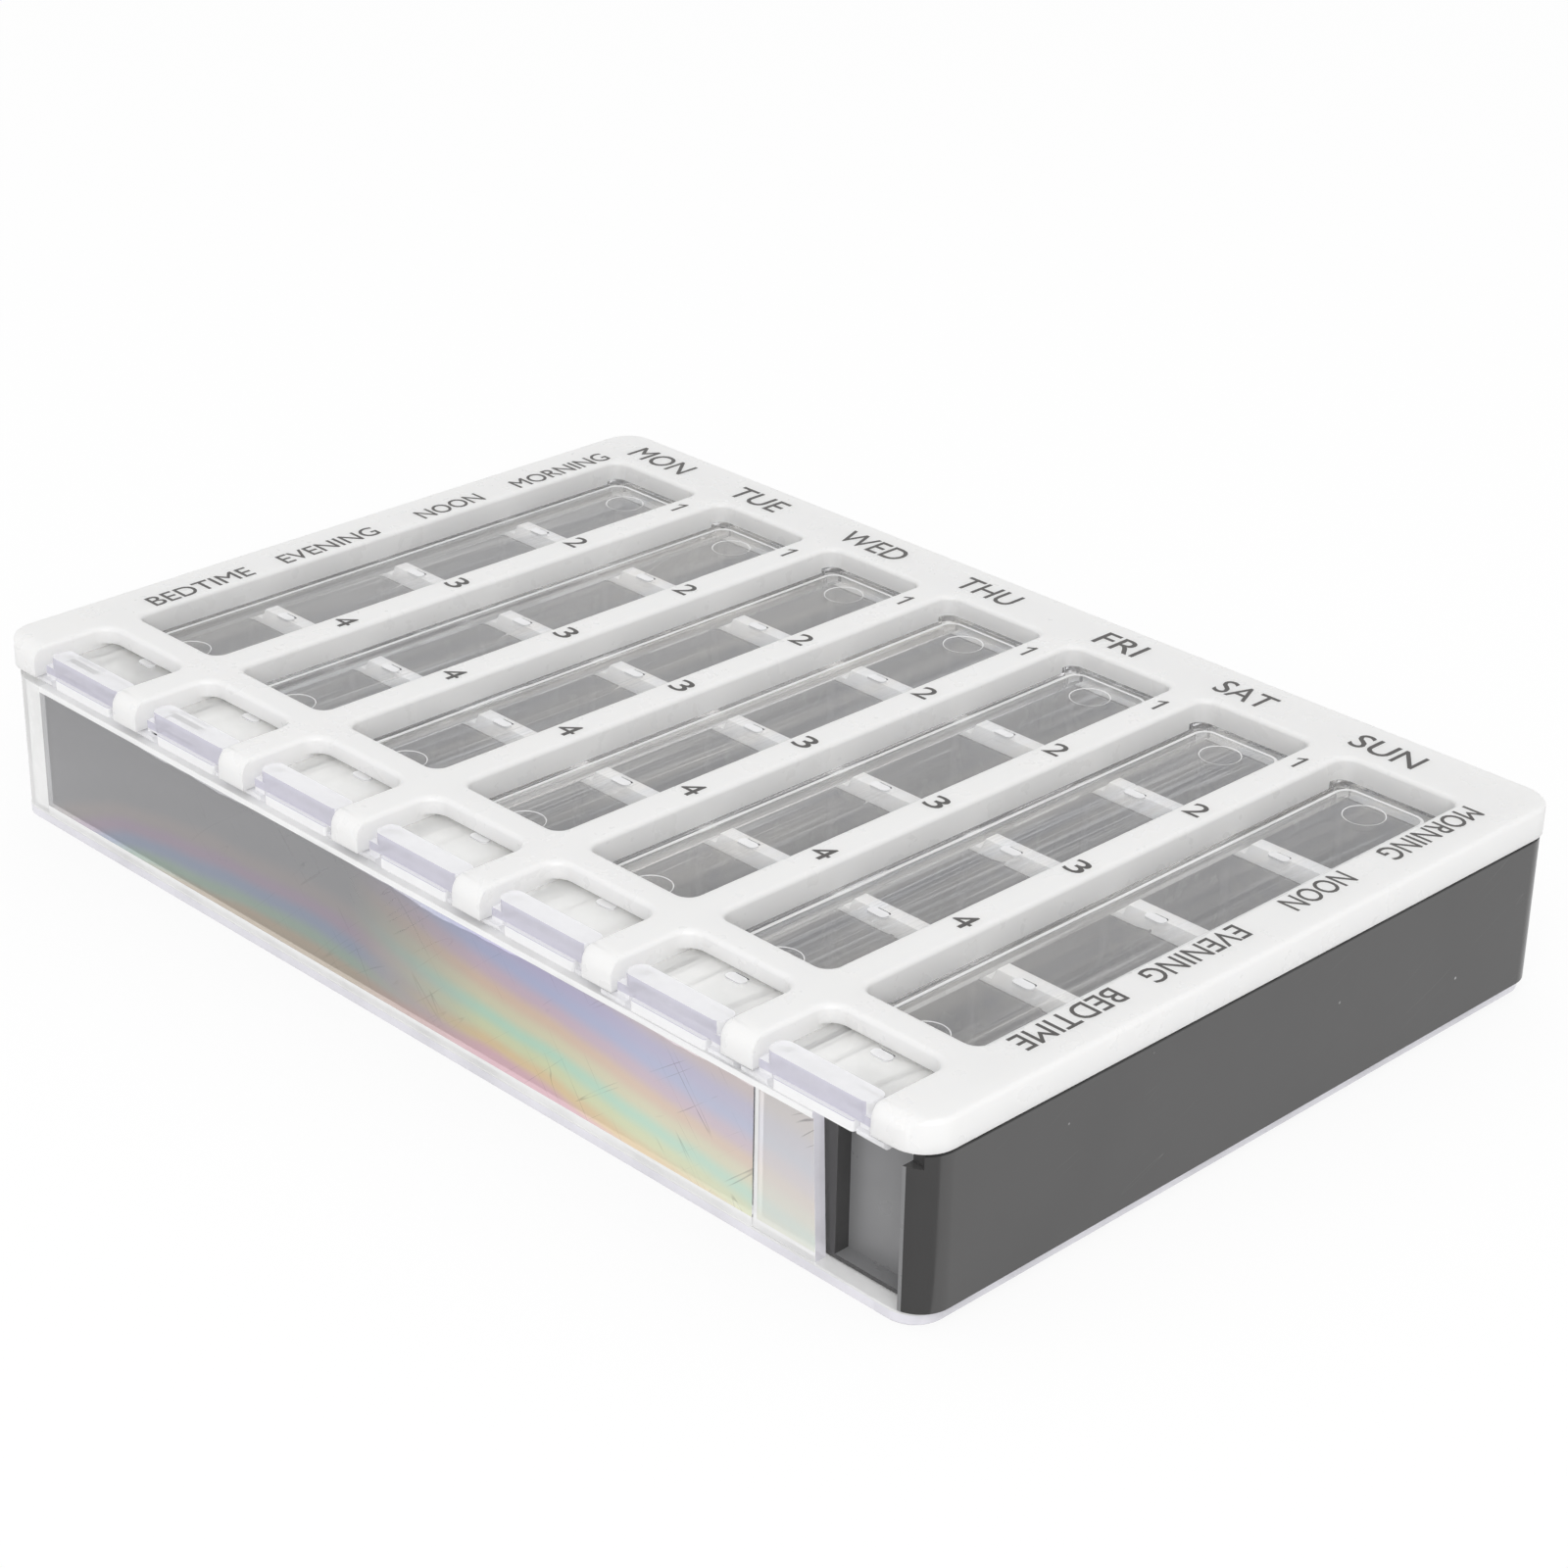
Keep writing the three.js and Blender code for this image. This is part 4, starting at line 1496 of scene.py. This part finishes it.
def build_cover():
    cover = slab("cover_clear", (cover_low.x, cover_high.x), (cover_low.y, cover_high.y),
                 (cover_low.z, cover_floor))
    round_corners(cover, cover_corner, 12)
    soften(cover, cover_round, 3)
    join(cover, cover_walls())
    slice_at(cover, 2, stress_bottom, bead_foot)
    slice_at(cover, 0, stress_left, ridge_place, ridge_place + ridge_highlight_width, milky_right)
    slice_at(cover, 1, -milky_side, milky_side)
    even_shade(cover)
    paint_cover(cover)
    hand_over(cover, "clear_cover", "bottom_cover", "bottom_cover")


build_cover()

# %% [markdown]
# ## The milky beads
# A milky bead along the top of each long wall hooks over the casing. Its lower edge isn't straight: where
# it was moulded onto the wall it ran down in shallow waves, and they show as the ragged lower edge of a
# white band below the lips. So a thin skin hangs below the hook, and its lower points follow a sum of waves.

# %% Milky beads
bead_left = cover_low.x + cover_wall + 3 * mm
bead_right = wall_end_top + 1.3 * mm
hook_gap = 0.02 * mm
hook_drop = 0.05 * mm
skin_gap = 0.03 * mm
skin_depth = 0.22 * mm
skin_bottom = grid_top - 1.5 * mm
skin_top = grid_top - 0.5 * mm
skin_points = 180
waves = ((0.35, 0.11, 1), (0.22, 0.37, 0), (0.1, 1.3, 0))
wave_share = 0.7
mean_drop = 0.35
run_place = 8
run_drop = 0.5
run_width = 14


def drop_at(x):
    """How far the bead's lower edge has run down, both in millimetres."""
    wave = sum(height * math.sin(x * often + start) for height, often, start in waves)
    run = run_drop * math.exp(-((x - run_place) / run_width) ** 2)
    return mean_drop + wave * wave_share + run


def wavy_bead(name, side):
    """The hook over the casing and the skin below it, on one long wall."""
    wall_face = cover_high.y - cover_wall
    length = (bead_left, bead_right)
    hook_faces = mirrored(side, grid_high.y + gap, wall_face - hook_gap)
    hook = slab("hook", length, hook_faces, (bead_foot, grid_top - hook_drop))
    skin_faces = mirrored(side, wall_face - skin_depth, wall_face - skin_gap)
    skin = slab("skin", length, skin_faces, (skin_bottom, skin_top))
    pick_edges(skin, lambda a, b: abs(a.x - b.x) > over)
    bpy.ops.mesh.subdivide(number_cuts=skin_points)
    bpy.ops.object.mode_set(mode="OBJECT")
    for point in skin.data.vertices:
        if point.co.z < bead_foot:
            point.co.z -= drop_at(point.co.x / mm) * mm
    bead = as_one([hook, skin])
    bead.name = name
    even_shade(soften(bead, 0.06 * mm, 2))
    paint_with(bead, frosted_and_painted_highlight)
    hand_over(bead, "clear_cover", "bottom_cover")


wavy_bead("cover_bead_front", -1)
wavy_bead("cover_bead_back", 1)

# %% [markdown]
# ## The printed words
# Days, doses and numbers are printed in thin dark ink. A picture of them could be laid on the frame, but
# letters with a shape stay sharp from near by. A word is a text object turned to lie on the frame, scaled to
# its printed width, made a mesh, and given the thickness of a film of ink. A number 1 with its short flag
# isn't in the plain font, so it is made of two small blocks.

# %% Films of ink
ink_height = 0.03 * mm
stroke_extra = 0.01
middle_day = 2.6125
middle_dose = 1.7625
one_half = 1.95 * mm
one_stroke = 0.5 * mm
flag_reach = 0.95 * mm
flag_drop = 0.8 * mm


def to_object(x, y):
    """A place in metres from one in day and dose pitches, as measured on the frame."""
    return (x - middle_day) * day_pitch, (y - middle_dose) * dose_pitch


def number_one(x, y):
    """The upright stroke and the short flag of a plain 1."""
    layer = (frame_top - ink_height / 2, frame_top + ink_height / 2)
    top = y + one_half
    stem = slab("stem", (x, x + one_stroke), (y - one_half, top), layer)
    flag = slab("flag", (x - flag_reach, x + one_stroke / 2), (top - one_stroke, top), layer)
    for point in flag.data.vertices:
        if point.co.x < x:
            point.co.y -= flag_drop
    return join(stem, flag)


def ink_film(text, x, y, height, width, turned):
    """One word, as a film of that cap height and width, laid on the frame."""
    bpy.ops.object.select_all(action="DESELECT")
    bpy.ops.object.text_add()
    film = bpy.context.object
    film.data.body = text
    film.data.align_x = "CENTER"
    film.data.align_y = "CENTER"
    film.data.resolution_u = 4
    film.data.extrude = 0.5
    only(film)
    bpy.ops.object.convert(target="MESH")
    film = weld(bpy.context.object, 0.2 * mm)
    bpy.ops.object.mode_set(mode="EDIT")
    bpy.ops.mesh.select_all(action="SELECT")
    bpy.ops.transform.shrink_fatten(value=stroke_extra)
    bpy.ops.object.mode_set(mode="OBJECT")
    spots = [point.co.copy() for point in film.data.vertices]
    low = Vector([min(spot[axis] for spot in spots) for axis in range(3)])
    high = Vector([max(spot[axis] for spot in spots) for axis in range(3)])
    fit = Matrix.Diagonal((width / (high.x - low.x), height / (high.y - low.y), ink_height, 1))
    lay = Matrix.Translation((x, y, frame_top)) @ Matrix.Rotation(turned, 4, "Z")
    film.data.transform(lay @ fit @ Matrix.Translation(-(low + high) / 2))
    film.data.materials.clear()
    return film


def printed(name, words, films=()):
    """Words and ready films as one piece. A word is its text, place, cap height, width and turn."""
    piece = as_one([*films, *(ink_film(*word) for word in words)])
    piece.name = name
    weld(piece, 0.0005 * mm)
    paint_with(piece, print_ink)
    report(piece)
    return piece


# %% [markdown]
# ### Days, numbers and doses
# The days stand behind the windows, the numbers between them, and the dose names run up the left side and
# down the right one. Each row here is a word with its place and its width as printed, the dose names with a
# place for each side. The numbers are the same in all six gaps, so one column is printed and copied.

# %% Lettering
quarter = math.pi / 2
day_row = 4.018
day_height = 5 * mm
day_rows = (("MON", -0.56, 13.75), ("TUE", 0.355, 11.9), ("WED", 1.39, 14.0), ("THU", 2.36, 12.1),
            ("FRI", 3.418, 8.75), ("SAT", 4.355, 10.4), ("SUN", 5.359, 12.25))
day_words = [(text, *to_object(x, day_row), day_height, width * mm, 0) for text, x, width in day_rows]
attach(printed("print_day_names", day_words), "casing_body")

number_side = 0.11
number_height = 4 * mm
one_row = 3.545
number_rows = (("2", 2.68, 3.1), ("3", 1.72, 3.1), ("4", 0.86, 3.3))
number_words = [(text, *to_object(number_side, y), number_height, width * mm, 0)
                for text, y, width in number_rows]
first_column = printed("number_column", number_words, [number_one(*to_object(number_side, one_row))])
number_print = as_one([copy_to(first_column, "column", Vector((day_pitch * step, 0, 0)))
                       for step in range(len(days) - 1)])
number_print.name = "print_dose_numbers"
bpy.data.objects.remove(first_column)
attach(number_print, "casing_body")

left_side = -0.882
right_side = 6.113
left_height = 3.75 * mm
right_height = 3.95 * mm
dose_rows = (("MORNING", 21.6, 3.407, 3.388), ("NOON", 13.75, 2.477, 2.43),
             ("EVENING", 20.2, 1.509, 1.454), ("BEDTIME", 20.2, 0.541, 0.513))
dose_words = []
for text, width, left, right in dose_rows:
    dose_words.append((text, *to_object(left_side, left), left_height, width * mm, quarter))
    dose_words.append((text, *to_object(right_side, right), right_height, width * mm, -quarter))
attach(printed("print_dose_names", dose_words), "casing_body")
